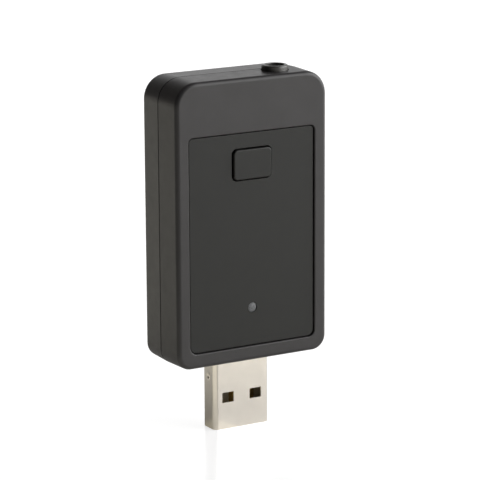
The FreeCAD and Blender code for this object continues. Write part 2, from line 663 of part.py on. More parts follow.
def circuit_board():
    """Board with cut corners, holes for the locating pins and notches for the plug's legs."""
    right_side = [
        (BOARD_HALF_WIDTH - BOARD_BOTTOM_CORNER, BOARD_BOTTOM_Z),
        (BOARD_HALF_WIDTH, BOARD_BOTTOM_Z + BOARD_BOTTOM_CORNER),
        (BOARD_HALF_WIDTH, BOARD_TOP_Z - BOARD_TOP_CORNER),
        (BOARD_HALF_WIDTH - BOARD_TOP_CORNER, BOARD_TOP_Z),
    ]
    left_side = [(-x, z) for x, z in reversed(right_side)]
    points = [Vector(x, BOARD_FRONT_Y, z) for x, z in right_side + left_side]
    plate = prism(points, Y_AXIS * BOARD_THICKNESS)
    cuts = []
    for x, z in POST_PLACES:
        cuts.append(rod(x, z, POST_PIN_RADIUS + POST_PIN_GAP, BOARD_FRONT_Y, BOARD_BACK_Y))
    for side in (-1, 1):
        middle = side * (PLUG_WIDTH - PLUG_SHEET) / 2
        half_slot = PLUG_SHEET / 2 + LEG_CLEARANCE
        cuts.append(block(
            middle - half_slot, middle + half_slot, BOARD_FRONT_Y, BOARD_BACK_Y,
            BOARD_BOTTOM_Z, PLUG_LENGTH + LEG_LENGTH + LEG_CLEARANCE,
        ))
    return plate.cut(Part.makeCompound(cuts))


# Audio jack

def spring_places():
    """Each jack spring's name, its side of the jack and the height of its middle."""
    return [
        ("jack_sleeve_spring", -1, JACK_TOP_Z - SLEEVE_SPRING_DEPTH),
        ("jack_ring_spring", 1, JACK_TOP_Z - RING_SPRING_DEPTH),
        ("jack_tip_spring", -1, JACK_TOP_Z - TIP_SPRING_DEPTH),
    ]


def jack_revolve(profile):
    """Solid of revolution about the jack's axis, from a closed profile of radii and heights."""
    points = [Vector(radius, 0, z) for radius, z in profile]
    solid = Part.Face(Part.makePolygon(points + points[:1])).revolve(Vector(0, 0, 0), Z_AXIS, FULL_TURN)
    solid.translate(Vector(JACK_X, JACK_Y, 0))
    return solid


def jack_housing():
    """Moulded jack body with a round collar, a stepped bore and a side slot for each spring."""
    half_width = JACK_BODY_WIDTH / 2
    body = block(
        JACK_X - half_width, JACK_X + half_width, JACK_Y - JACK_BODY_FRONT, BOARD_FRONT_Y,
        JACK_BOTTOM_Z, JACK_TOP_Z,
    )
    collar = jack_revolve([
        (0, JACK_TOP_Z - WALL), (COLLAR_RADIUS, JACK_TOP_Z - WALL),
        (COLLAR_RADIUS, COLLAR_TOP_Z - COLLAR_EDGE_BEVEL),
        (COLLAR_RADIUS - COLLAR_EDGE_BEVEL, COLLAR_TOP_Z), (0, COLLAR_TOP_Z),
    ])
    bore = jack_revolve([
        (0, JACK_BOTTOM_Z), (BORE_RADIUS, JACK_BOTTOM_Z),
        (BORE_RADIUS, COLLAR_TOP_Z - BORE_CHAMFER),
        (BORE_RADIUS + BORE_CHAMFER, COLLAR_TOP_Z), (0, COLLAR_TOP_Z),
    ])
    cuts = [bore]
    for _, side, middle in spring_places():
        cuts.append(spring_slot(side, middle))
    return body.fuse(collar).cut(Part.makeCompound(cuts)).removeSplitter()


def spring_slot(side, middle):
    """Window from a side of the jack into its bore, and the groove for the spring's tail."""
    half_length = SPRING_LENGTH / 2 + SPRING_SIDE_GAP
    half_width = SPRING_WIDTH / 2 + SPRING_SIDE_GAP
    x_face = JACK_X + side * JACK_BODY_WIDTH / 2
    window = block(
        min(JACK_X, x_face), max(JACK_X, x_face), JACK_Y - half_width, JACK_Y + half_width,
        middle - half_length, middle + half_length,
    )
    x_floor = x_face - side * SPRING_GROOVE
    half_tail = SPRING_TAIL_WIDTH / 2 + SPRING_SIDE_GAP
    groove = block(
        min(x_floor, x_face), max(x_floor, x_face), JACK_Y, BOARD_FRONT_Y,
        middle - half_tail, middle + half_tail,
    )
    return window.fuse(groove)


def jack_spring(side, middle):
    """Leaf spring bowed into the bore, with a tail that runs back to the board."""
    outer = JACK_BODY_WIDTH / 2 - SPRING_GROOVE + SPRING_THICKNESS
    inner = outer - SPRING_THICKNESS
    crest = BORE_RADIUS - SPRING_BITE
    half_length = SPRING_LENGTH / 2
    flat = SPRING_TAIL_WIDTH / 2
    profile = [
        (inner, -half_length), (outer, -half_length), (outer, half_length), (inner, half_length),
        (crest, flat), (crest, -flat),
    ]
    hollow = [
        (outer, -half_length + SPRING_BEND), (outer, half_length - SPRING_BEND),
        (crest + SPRING_THICKNESS, flat), (crest + SPRING_THICKNESS, -flat),
    ]
    y_low = JACK_Y - SPRING_WIDTH / 2
    outside = [Vector(JACK_X + side * x, y_low, middle + z) for x, z in profile]
    inside = [Vector(JACK_X + side * x, y_low, middle + z) for x, z in hollow]
    leaf = prism(outside, Y_AXIS * SPRING_WIDTH).cut(prism(inside, Y_AXIS * SPRING_WIDTH))
    x_outer = JACK_X + side * outer
    x_inner = JACK_X + side * inner
    tail = block(
        min(x_inner, x_outer), max(x_inner, x_outer), JACK_Y + SPRING_WIDTH / 2, BOARD_FRONT_Y,
        middle - flat, middle + flat,
    )
    strap = block(
        min(x_inner, x_outer), max(x_inner, x_outer), JACK_Y, JACK_Y + SPRING_WIDTH / 2,
        middle - half_length, middle + half_length,
    )
    return leaf.multiFuse([strap, tail]).removeSplitter()


# Tactile switch

def switch_base():
    """Square moulded base with a round well for the dome and the plunger's flange."""
    half = SWITCH_SIZE / 2
    base = block(-half, half, SWITCH_FRONT_Y, BOARD_FRONT_Y, BUTTON_Z - half, BUTTON_Z + half)
    return base.cut(rod(0, BUTTON_Z, SWITCH_WELL_RADIUS, SWITCH_FRONT_Y, SWITCH_FLOOR_Y))


def switch_cover():
    """Folded metal cover: a plate with a round hole and two arms down the sides of the base."""
    half = SWITCH_SIZE / 2
    plate = block(-half, half, COVER_FACE_Y, SWITCH_FRONT_Y, BUTTON_Z - half, BUTTON_Z + half)
    arms = []
    for side in (-1, 1):
        x_inner = side * half
        x_outer = side * (half + SWITCH_COVER_THICKNESS)
        arms.append(block(
            min(x_inner, x_outer), max(x_inner, x_outer), COVER_FACE_Y, SWITCH_FRONT_Y + SWITCH_ARM_LENGTH,
            BUTTON_Z - SWITCH_ARM_WIDTH / 2, BUTTON_Z + SWITCH_ARM_WIDTH / 2,
        ))
    hole = rod(0, BUTTON_Z, PLUNGER_RADIUS + PLUNGER_GAP, COVER_FACE_Y, SWITCH_FRONT_Y)
    return plate.multiFuse(arms).cut(hole).removeSplitter()


def switch_plunger():
    """Round plunger: stem through the cover, retaining flange, and nub over the dome."""
    flange_y = SWITCH_FRONT_Y + PLUNGER_FLANGE_GAP
    flange_end = flange_y + PLUNGER_FLANGE_THICKNESS
    stem = rod(0, BUTTON_Z, PLUNGER_RADIUS, PLUNGER_FACE_Y, flange_y)
    flange = rod(0, BUTTON_Z, PLUNGER_RADIUS + PLUNGER_FLANGE, flange_y, flange_end)
    half_nub = PLUNGER_NUB_WIDTH / 2
    nub = block(-half_nub, half_nub, flange_end, NUB_END_Y, BUTTON_Z - half_nub, BUTTON_Z + half_nub)
    return stem.multiFuse([flange, nub]).removeSplitter()


def switch_dome():
    """Four-legged snap dome on the floor of the well: two thin arched strips that cross."""
    foot = DOME_LENGTH / 2
    crown = DOME_CROWN / 2
    half_width = DOME_LEG_WIDTH / 2
    profile = [
        (-foot, 0), (-crown, DOME_HEIGHT), (crown, DOME_HEIGHT), (foot, 0),
        (foot - 2 * DOME_THICKNESS, 0), (crown - DOME_THICKNESS / 2, DOME_HEIGHT - DOME_THICKNESS),
        (DOME_THICKNESS / 2 - crown, DOME_HEIGHT - DOME_THICKNESS), (2 * DOME_THICKNESS - foot, 0),
    ]
    points = [Vector(x, SWITCH_FLOOR_Y - rise, BUTTON_Z - half_width) for x, rise in profile]
    strip = prism(points, Z_AXIS * DOME_LEG_WIDTH)
    crossing = strip.copy()
    crossing.rotate(Vector(0, 0, BUTTON_Z), Y_AXIS, QUARTER_TURN)
    return strip.fuse(crossing).removeSplitter()


def switch_terminals():
    """Four bent legs that carry the switch on the board, above and below its base."""
    half = SWITCH_SIZE / 2
    legs = []
    for side in (-1, 1):
        for x in (-TERMINAL_PITCH / 2, TERMINAL_PITCH / 2):
            profile = [
                (0, BOARD_FRONT_Y - TERMINAL_HEIGHT),
                (TERMINAL_THICKNESS, BOARD_FRONT_Y - TERMINAL_HEIGHT),
                (TERMINAL_THICKNESS, BOARD_FRONT_Y - TERMINAL_THICKNESS),
                (TERMINAL_FOOT, BOARD_FRONT_Y - TERMINAL_THICKNESS),
                (TERMINAL_FOOT, BOARD_FRONT_Y),
                (0, BOARD_FRONT_Y),
            ]
            points = [
                Vector(x - TERMINAL_WIDTH / 2, y, BUTTON_Z + side * (half + out)) for out, y in profile
            ]
            legs.append(prism(points, X_AXIS * TERMINAL_WIDTH))
    return Part.makeCompound(legs)


# Parts on the board

def from_left(place):
    """Place on the board, across from its middle, of a point given from its left side."""
    inward, up = place
    return (inward - BOARD_HALF_WIDTH, up)


def from_right(place):
    """Place on the board, across from its middle, of a point given from its right side."""
    inward, up = place
    return (BOARD_HALF_WIDTH - inward, up)


def on_board(place, size):
    """Block of the given width, height and thickness on the board's front, at its place."""
    across, up = place
    width, height, thickness = size
    middle = BOARD_BOTTOM_Z + up
    return block(
        across - width / 2, across + width / 2, BOARD_FRONT_Y - thickness, BOARD_FRONT_Y,
        middle - height / 2, middle + height / 2,
    )


def flat_package(place, size):
    """Leadless chip: a moulded block with bevelled upper edges."""
    body = on_board(place, size)
    return body.makeChamfer(PACKAGE_BEVEL, edges_in_plane(body, "y", BOARD_FRONT_Y - size[2]))


def leaded_package(place, size, lead_rows):
    """Moulded chip on bent leads: lead_rows holds the leads' offsets up the left and right side."""
    across, up = place
    width, height, thickness = size
    middle = BOARD_BOTTOM_Z + up
    top_y = BOARD_FRONT_Y - thickness
    body = block(
        across - width / 2, across + width / 2, top_y, BOARD_FRONT_Y - LEAD_THICKNESS,
        middle - height / 2, middle + height / 2,
    )
    body = body.makeChamfer(PACKAGE_BEVEL, edges_in_plane(body, "y", top_y))
    lead_y = BOARD_FRONT_Y - thickness / 2
    leads = []
    for side, offsets in zip((-1, 1), lead_rows):
        for offset in offsets:
            profile = [
                (-LEAD_THICKNESS, lead_y - LEAD_THICKNESS),
                (LEAD_REACH / 2, lead_y - LEAD_THICKNESS),
                (LEAD_REACH / 2, BOARD_FRONT_Y - LEAD_THICKNESS),
                (LEAD_REACH, BOARD_FRONT_Y - LEAD_THICKNESS),
                (LEAD_REACH, BOARD_FRONT_Y),
                (LEAD_REACH / 2 - LEAD_THICKNESS, BOARD_FRONT_Y),
                (LEAD_REACH / 2 - LEAD_THICKNESS, lead_y),
                (-LEAD_THICKNESS, lead_y),
            ]
            z_low = middle + offset - LEAD_THICKNESS
            points = [Vector(across + side * (width / 2 + out), y, z_low) for out, y in profile]
            leads.append(prism(points, Z_AXIS * 2 * LEAD_THICKNESS))
    return body.multiFuse(leads).removeSplitter()


def capped_block(place, size):
    """Small two-ended part: a ceramic body with a slightly thicker metal cap on each end."""
    across, up = place
    width, height, thickness = size
    body = on_board(place, (width, height - 2 * END_CAP_PROUD, thickness - END_CAP_PROUD))
    ends = []
    for side in (-1, 1):
        middle = across + side * (width - END_CAP) / 2
        ends.append(on_board((middle, up), (END_CAP, height, thickness)))
    return body.multiFuse(ends).removeSplitter()


def crystal():
    """Clock crystal: a bevelled metal can on a wider flange."""
    width, height, thickness = CRYSTAL_SIZE
    rim = CRYSTAL_FLANGE_WIDTH
    place = from_left(CRYSTAL_FROM_LEFT)
    flange = on_board(place, (width, height, CRYSTAL_FLANGE_THICKNESS))
    can = on_board(place, (width - 2 * rim, height - 2 * rim, thickness))
    can = can.makeChamfer(PACKAGE_BEVEL, edges_in_plane(can, "y", BOARD_FRONT_Y - thickness))
    return flange.fuse(can).removeSplitter()


def power_inductor():
    """Wound inductor: a round winding between a square foot and a square head."""
    across, up = from_left(INDUCTOR_FROM_LEFT)
    width, height, thickness = INDUCTOR_SIZE
    middle = BOARD_BOTTOM_Z + up
    head_end = BOARD_FRONT_Y - thickness + INDUCTOR_CHEEK
    foot = on_board((across, up), (width, height, INDUCTOR_CHEEK))
    winding = rod(across, middle, width / 2 - INDUCTOR_CHEEK, head_end, BOARD_FRONT_Y - INDUCTOR_CHEEK)
    head = on_board((across, up), (width, height, thickness)).common(
        block(-BOARD_HALF_WIDTH, BOARD_HALF_WIDTH, FRONT_Y, head_end, BOARD_BOTTOM_Z, BOARD_TOP_Z)
    )
    return foot.multiFuse([winding, head]).removeSplitter()


def status_lamp():
    """Light-emitting chip under the light pipe, with a metal cap on each end."""
    return capped_block((0, LIGHT_Z - BOARD_BOTTOM_Z), LAMP_SIZE)


def small_capacitors():
    """Column of decoupling capacitors beside the radio chip, and two larger ones by the jack."""
    across, up = from_left(SMALL_CAPACITORS_FROM_LEFT)
    parts = []
    for index in range(SMALL_CAPACITOR_COUNT):
        parts.append(capped_block((across, up + index * SMALL_CAPACITOR_PITCH), SMALL_CAPACITOR_SIZE))
    across, up = from_right(COUPLING_CAPACITORS_FROM_RIGHT)
    for index in range(COUPLING_CAPACITOR_COUNT):
        parts.append(capped_block((across - index * COUPLING_CAPACITOR_PITCH, up), COUPLING_CAPACITOR_SIZE))
    return Part.makeCompound(parts)


def small_resistors():
    """Column of resistors near the board's right edge."""
    across, up = from_right(RESISTORS_FROM_RIGHT)
    parts = []
    for index in range(RESISTOR_COUNT):
        parts.append(capped_block((across, up + index * RESISTOR_PITCH), RESISTOR_SIZE))
    return Part.makeCompound(parts)


def memory_chip():
    """Memory chip with a row of leads along each side."""
    span = MEMORY_LEAD_PITCH * (MEMORY_LEADS_A_SIDE - 1)
    row = [index * MEMORY_LEAD_PITCH - span / 2 for index in range(MEMORY_LEADS_A_SIDE)]
    return leaded_package(from_right(MEMORY_FROM_RIGHT), MEMORY_SIZE, [row, row])


def voltage_regulator():
    """Five-lead voltage regulator: three leads on its left and two on its right."""
    pitch = REGULATOR_LEAD_PITCH
    return leaded_package(
        from_right(REGULATOR_FROM_RIGHT), REGULATOR_SIZE, [[-pitch, 0, pitch], [-pitch, pitch]],
    )


def bluetooth_chip():
    """Radio and processor chip."""
    return flat_package(from_left(BLUETOOTH_CHIP_FROM_LEFT), BLUETOOTH_CHIP_SIZE)


def audio_converter_chip():
    """Chip that turns the jack's signal into data."""
    return flat_package(from_right(CONVERTER_CHIP_FROM_RIGHT), CONVERTER_CHIP_SIZE)


def supply_fuse():
    """Fuse beside the plug's supply contact."""
    return capped_block(from_left(FUSE_FROM_LEFT), FUSE_SIZE)


def antenna():
    """Chip antenna near the board's upper left corner."""
    up = BOARD_TOP_Z - BOARD_BOTTOM_Z - ANTENNA_BELOW_BOARD_TOP
    return capped_block(from_left((ANTENNA_FROM_LEFT, up)), ANTENNA_SIZE)


def all_nodes():
    """Every piece of the product, by the name of its node."""
    nodes = {
        "front_shell": front_shell(),
        "rear_shell": rear_shell(),
        "front_panel": front_panel(),
        "push_button": push_button(),
        "light_pipe": light_pipe(),
        "circuit_board": circuit_board(),
        "usb_shell": usb_shell(),
        "usb_insulator": usb_insulator(),
        "jack_housing": jack_housing(),
        "switch_base": switch_base(),
        "switch_cover": switch_cover(),
        "switch_plunger": switch_plunger(),
        "switch_dome": switch_dome(),
        "switch_terminals": switch_terminals(),
        "bluetooth_chip": bluetooth_chip(),
        "audio_converter_chip": audio_converter_chip(),
        "memory_chip": memory_chip(),
        "voltage_regulator": voltage_regulator(),
        "crystal": crystal(),
        "power_inductor": power_inductor(),
        "supply_fuse": supply_fuse(),
        "antenna": antenna(),
        "status_lamp": status_lamp(),
        "small_capacitors": small_capacitors(),
        "small_resistors": small_resistors(),
    }
    for name, x, from_tip in contact_places():
        nodes[name] = usb_contact(x, from_tip)
    for name, side, middle in spring_places():
        nodes[name] = jack_spring(side, middle)
    return nodes


os.makedirs("parts", exist_ok=True)
for node_name, node_shape in all_nodes().items():
    node_shape.exportStep("parts/" + node_name + ".step")
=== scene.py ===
"""Wireless audio transmitter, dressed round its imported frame.

Lengths in this file are millimetres unless a name says otherwise, in the frame of the model: the
origin is the middle of the plug's tip, +Z runs up to the jack and the front looks along -Y.
"""

import json
import logging
import math
from dataclasses import dataclass, field
from enum import Enum
from typing import Dict, List, Sequence, Tuple

import bmesh
import bpy
import numpy as np
from mathutils import Matrix, Vector


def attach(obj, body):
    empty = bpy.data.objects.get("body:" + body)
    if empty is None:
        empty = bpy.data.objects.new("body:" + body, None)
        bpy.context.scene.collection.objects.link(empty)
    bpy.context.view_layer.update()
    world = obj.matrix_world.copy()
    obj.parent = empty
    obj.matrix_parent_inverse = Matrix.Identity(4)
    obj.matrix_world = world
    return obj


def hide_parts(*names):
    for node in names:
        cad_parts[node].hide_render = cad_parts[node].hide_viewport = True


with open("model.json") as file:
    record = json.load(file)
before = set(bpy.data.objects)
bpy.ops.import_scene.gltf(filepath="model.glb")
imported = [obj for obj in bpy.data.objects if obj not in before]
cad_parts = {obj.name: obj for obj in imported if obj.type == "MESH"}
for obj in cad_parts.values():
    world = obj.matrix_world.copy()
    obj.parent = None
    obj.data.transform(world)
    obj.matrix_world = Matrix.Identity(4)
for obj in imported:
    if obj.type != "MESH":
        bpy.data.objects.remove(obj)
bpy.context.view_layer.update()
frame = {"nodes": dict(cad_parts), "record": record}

Piece = bpy.types.Object
Material = bpy.types.Material
Node = bpy.types.Node
Socket = bpy.types.NodeSocket
Pair = Tuple[float, float]
Colour = Tuple[float, float, float]

LOG = logging.getLogger("transmitter")
MM = 0.001
MERGE_M = 1e-7  # points closer than this, in metres, become one
TINY = 1e-6
LEAST_RADIUS = 0.02  # stands for no radius, at a corner or on an axis
SUPPORT = 0.05  # from an edge to the point that keeps the flat beside it flat
CORNER_STEPS = 14  # steps of a rounded corner
COLLAR_STEPS = 96  # points round the jack
LIGHT_STEPS = 64  # points round the light's hole
PIPE_STEPS = 48  # points round the light's pipe
SHARP_DEG = 32.0  # edges that turn by more than this stay hard
NOISE_SPAN: Pair = (0.3, 0.7)  # most of a noise lies between these
SENSOR_MM = 36.0
WHITE: Colour = (1.0, 1.0, 1.0)


class Half(Enum):
    """The two halves of the case, by the way that each one faces along Y."""

    FRONT = -1
    REAR = 1


class Body(Enum):
    """The bodies of the frame that a piece can ride on."""

    CASE = "case"
    BUTTON = "button"


# Shapes

def quarter(steps: int) -> np.ndarray:
    """Angles of a quarter turn, from 0 to 90 degrees, in radians.

    Args:
        steps: How many equal steps the turn has.
    Returns:
        Array of steps + 1 angles.
    """
    return np.linspace(0.0, np.pi / 2, steps + 1)


@dataclass(frozen=True)
class Outline:
    """Rounded rectangle in a cross plane, with its own lower and upper corner radii."""

    left: float
    right: float
    low: float
    high: float
    lower_radius: float
    upper_radius: float

    def shrunk(self, inset: float) -> "Outline":
        """Outline at an even distance inside this one.

        Args:
            inset: Distance inwards, negative for outwards.
        Returns:
            The new outline, with its corner radii shorter by the same distance.
        """
        return Outline(
            self.left + inset, self.right - inset, self.low + inset, self.high - inset,
            max(self.lower_radius - inset, LEAST_RADIUS),
            max(self.upper_radius - inset, LEAST_RADIUS),
        )

    def points(self) -> np.ndarray:
        """Closed run of points along the outline, anticlockwise from the lower right corner.

        Each corner is a quarter circle about its own centre: centre plus radius times the cosine
        and sine of the turn. A point a short way along the straight before and after each corner
        keeps the flats flat when the surface is shaded smooth.

        Returns:
            Array of shape (count, 2), with CORNER_STEPS + 3 points for each corner.
        """
        lower, upper = self.lower_radius, self.upper_radius
        centres = np.array([
            [self.right - lower, self.low + lower], [self.right - upper, self.high - upper],
            [self.left + upper, self.high - upper], [self.left + lower, self.low + lower],
        ])
        radii = np.array([lower, upper, upper, lower])[:, None, None]
        turns = np.radians([-90.0, 0.0, 90.0, 180.0])[:, None] + quarter(CORNER_STEPS)[None, :]
        arcs = centres[:, None, :] + radii * np.stack([np.cos(turns), np.sin(turns)], axis=-1)
        travel = np.stack([-np.sin(turns), np.cos(turns)], axis=-1)
        before = arcs[:, :1] - SUPPORT * travel[:, :1]
        after = arcs[:, -1:] + SUPPORT * travel[:, -1:]
        return np.concatenate([before, arcs, after], axis=1).reshape(-1, 2)

    def facing_front(self, y: float) -> np.ndarray:
        """Ring of the outline in the plane at y, its coordinates being x and z."""
        return np.insert(self.points(), 1, y, axis=1)

    def facing_up(self, z: float) -> np.ndarray:
        """Ring of the outline in the plane at z, its coordinates being x and y."""
        return np.insert(self.points(), 2, z, axis=1)

    def loft(self, run: Sequence[Pair]) -> List[np.ndarray]:
        """Rings of the outline facing the front.

        Args:
            run: Place along Y and inset of each ring.
        Returns:
            The rings in order.
        """
        return [self.shrunk(inset).facing_front(y) for y, inset in run]


def rounding(
    depth: float, inset: float, radius: float, start: float, end: float, steps: int,
) -> List[Pair]:
    """Run along a rounded edge.

    The edge is an arc about a centre: depth plus radius times the sine of the turn, inset minus
    radius times the cosine of it.

    Args:
        depth: Depth of the arc's centre.
        inset: Inset of the arc's centre.
        radius: Radius of the rounding.
        start: First turn, in degrees, 0 for the wall's side.
        end: Last turn, in degrees, 90 for the face's side.
        steps: How many steps the arc has.
    Returns:
        Depth and inset of each ring.
    """
    turns = np.radians(np.linspace(start, end, steps + 1))
    return list(zip(depth + radius * np.sin(turns), inset - radius * np.cos(turns)))


def soft_edge(face_y: float, radius: float, steps: int) -> List[Pair]:
    """Run round the front edge of a plate, from its wall to the flat of its face.

    The edge is a quarter circle: the face's place plus radius times (1 - sine of the turn), and
    an inset of radius times (1 - cosine of it).

    Args:
        face_y: Place of the face along Y.
        radius: Radius of the edge.
        steps: How many steps the quarter circle has.
    Returns:
        Place along Y and inset of each ring.
    """
    arc = quarter(steps)
    run = list(zip(face_y + radius * (1 - np.sin(arc)), radius * (1 - np.cos(arc))))
    return run + [(face_y, radius + SUPPORT)]


def revolve(profile: np.ndarray, centre: Pair, steps: int) -> np.ndarray:
    """Rings of a form turned about an upright axis.

    Each profile point (radius, height) becomes the ring centre + radius (cos, sin) at its height.

    Args:
        profile: Array of shape (count, 2) of radii and heights.
        centre: x and y of the axis.
        steps: Points on each ring.
    Returns:
        Array of shape (count, steps, 3).
    """
    turns = np.linspace(0.0, 2 * np.pi, steps, endpoint=False)
    radius = profile[:, :1]
    x = centre[0] + radius * np.cos(turns)
    y = centre[1] + radius * np.sin(turns)
    z = np.repeat(profile[:, 1:], steps, axis=1)
    return np.stack([x, y, z], axis=-1)


def forward(rings: np.ndarray, x: float, z: float) -> np.ndarray:
    """Turn rings about the upright axis into rings about a line along Y through x and z.

    Args:
        rings: Rings made about the origin, with heights along Z.
        x: Place of the new axis across.
        z: Place of the new axis up.
    Returns:
        Rings whose old heights are now depths along Y.
    """
    return np.stack([rings[..., 0] + x, rings[..., 2], -rings[..., 1] + z], axis=-1)


def box_rings(low: Sequence[float], high: Sequence[float]) -> np.ndarray:
    """Two square rings that bound a block between its lowest and highest corners."""
    (x0, y0, z0), (x1, y1, z1) = low, high
    square = np.array([[x0, y0], [x1, y0], [x1, y1], [x0, y1]])
    return np.stack([np.insert(square, 2, z, axis=1) for z in (z0, z1)])


# Meshes

def skin(name: str, rings: np.ndarray, looped: bool = False) -> Piece:
    """Closed surface through a stack of rings.

    Four neighbours in the grid of ring number and point number make one face. The ends are closed
    with a flat face each, or the last ring is joined to the first.

    Args:
        name: Name of the new piece.
        rings: Array of shape (rings, points, 3), in millimetres.
        looped: True to join the last ring to the first.
    Returns:
        The piece, with its faces outwards.
    """
    count, around, _ = rings.shape
    number = np.arange(count * around).reshape(count, around)
    lower = number if looped else number[:-1]
    upper = np.roll(number, -1, axis=0) if looped else number[1:]
    next_lower, next_upper = np.roll(lower, -1, axis=1), np.roll(upper, -1, axis=1)
    quads = np.stack([lower, next_lower, next_upper, upper], axis=-1)
    corners = [quads.reshape(-1)]
    sizes = [np.full(quads.size // 4, 4)]
    if not looped:
        corners += [number[0, ::-1], number[-1]]
        sizes.append(np.array([around, around]))
    return write_mesh(name, rings.reshape(-1, 3), np.concatenate(corners), np.concatenate(sizes))


def write_mesh(name: str, points: np.ndarray, corners: np.ndarray, sizes: np.ndarray) -> Piece:
    """Put arrays of points and faces into a new piece.

    Args:
        name: Name of the new piece.
        points: Array of shape (count, 3), in millimetres.
        corners: Point numbers of all faces, one face after the other.
        sizes: Number of corners of each face.
    Returns:
        The piece, its doubles merged and its faces outwards.
    """
    mesh = bpy.data.meshes.new(name)
    mesh.vertices.add(len(points))
    mesh.vertices.foreach_set("co", (points * MM).astype(np.float32).ravel())
    mesh.loops.add(len(corners))
    mesh.loops.foreach_set("vertex_index", corners.astype(np.int32))
    mesh.polygons.add(len(sizes))
    mesh.polygons.foreach_set("loop_start", (np.cumsum(sizes) - sizes).astype(np.int32))
    mesh.polygons.foreach_set("loop_total", sizes.astype(np.int32))
    mesh.update(calc_edges=True)
    work = bmesh.new()
    work.from_mesh(mesh)
    bmesh.ops.remove_doubles(work, verts=work.verts, dist=MERGE_M)
    bmesh.ops.recalc_face_normals(work, faces=work.faces)
    work.to_mesh(mesh)
    work.free()
    piece = bpy.data.objects.new(name, mesh)
    bpy.context.scene.collection.objects.link(piece)
    return piece


def carve(piece: Piece, cutters: Sequence[Piece]) -> None:
    """Cut shapes out of a piece, and leave no cutter behind.

    Args:
        piece: The piece that is cut.
        cutters: Closed shapes to take away.
    """
    for cutter in cutters:
        cut = piece.modifiers.new("cut", "BOOLEAN")
        cut.operation = "DIFFERENCE"
        cut.solver = "EXACT"
        cut.object = cutter
    ready = piece.evaluated_get(bpy.context.evaluated_depsgraph_get())
    mesh = bpy.data.meshes.new_from_object(ready)
    piece.modifiers.clear()
    piece.data = mesh
    mesh.name = piece.name
    for cutter in cutters:
        bpy.data.meshes.remove(cutter.data)


def smooth(piece: Piece) -> None:
    """Shade a piece smooth, with hard edges only where its faces turn by more than SHARP_DEG."""
    piece.data.shade_smooth()
    piece.data.set_sharp_from_angle(angle=math.radians(SHARP_DEG))


def soften(piece: Piece, width: float) -> None:
    """Round the remaining hard edges a little.

    Args:
        piece: The piece.
        width: Width of the rounding.
    """
    bevel = piece.modifiers.new("edge", "BEVEL")
    bevel.width = width * MM
    bevel.segments = 2
    bevel.limit_method = "ANGLE"
    bevel.angle_limit = math.radians(SHARP_DEG)
    bevel.harden_normals = True


# Finishes

class Nodes:
    """Short way to add and join the nodes of one material."""

    def __init__(self, name: str) -> None:
        """Start a material with a plain shader on its output.

        Args:
            name: Name of the material.
        """
        self.material = bpy.data.materials.new(name)
        self.material.use_nodes = True
        self.tree = self.material.node_tree
        self.tree.nodes.clear()
        self.output = self.tree.nodes.new("ShaderNodeOutputMaterial")
        self.shader = self.tree.nodes.new("ShaderNodeBsdfPrincipled")
        self.join(self.shader, "BSDF", self.output, "Surface")

    def add(self, kind: str, **values: object) -> Node:
        """Add a node.

        Args:
            kind: Node type without its common first part.
            **values: Property values, and input values by their socket's name with _ for a space.
        Returns:
            The node.
        """
        node = self.tree.nodes.new("ShaderNode" + kind)
        for name, value in values.items():
            socket = node.inputs.get(name.replace("_", " "))
            if socket is not None:
                socket.default_value = value
            else:
                setattr(node, name, value)
        return node

    def join(self, source: Node, out: str, target: Node, into: str) -> None:
        """Link one node's output to another node's input."""
        self.tree.links.new(source.outputs[out], target.inputs[into])

    def noise(self, size: float, detail: float = 2.0, stretch: Sequence[float] = (1, 1, 1)) -> Node:
        """Noise over the piece's own coordinates.

        Args:
            size: Size of its features.
            detail: Octaves.
            stretch: How much denser the pattern is along each axis.
        Returns:
            The noise node.
        """
        place = self.add("TexCoord")
        mapping = self.add("Mapping")
        mapping.inputs["Scale"].default_value = stretch
        texture = self.add("TexNoise", Scale=1.0 / (size * MM), Detail=detail)
        self.join(place, "Object", mapping, "Vector")
        self.join(mapping, "Vector", texture, "Vector")
        return texture

    def paint(
        self, source: Node, colours: Tuple[Colour, Colour],
        span: Pair = NOISE_SPAN, out: str = "Fac",
    ) -> None:
        """Colour the shader by a pattern.

        Args:
            source: The pattern's node.
            colours: The colours at the low and at the high end of the span.
            span: Values of the pattern between which the colours blend.
            out: Name of the pattern's output.
        """
        blend = self.add("ValToRGB")
        for stop, position, colour in zip(blend.color_ramp.elements, span, colours):
            stop.position = position
            stop.color = (*colour, 1)
        self.join(source, out, blend, "Fac")
        self.join(blend, "Color", self.shader, "Base Color")

    def roughen(self, source: Node, middle: float, change: float) -> None:
        """Vary the shader's roughness by a noise.

        Args:
            source: The noise node.
            middle: Roughness in the middle.
            change: How much lower and higher it gets.
        """
        levels = self.add(
            "MapRange", From_Min=NOISE_SPAN[0], From_Max=NOISE_SPAN[1],
            To_Min=middle - change, To_Max=middle + change,
        )
        self.join(source, "Fac", levels, "Value")
        self.join(levels, "Result", self.shader, "Roughness")

    def relief(self, source: Node, depth: float) -> None:
        """Use a noise as fine relief of the surface.

        Args:
            source: The noise node.
            depth: Height of the relief.
        """
        bump = self.add("Bump", Strength=1.0, Distance=depth * MM)
        self.join(source, "Fac", bump, "Height")
        self.join(bump, "Normal", self.shader, "Normal")


def mottled(colour: Colour, share: float) -> Tuple[Colour, Colour]:
    """A colour made darker and made lighter by a share of itself."""
    return tuple(
        tuple(channel * (1 + change) for channel in colour) for change in (-share, share)
    )


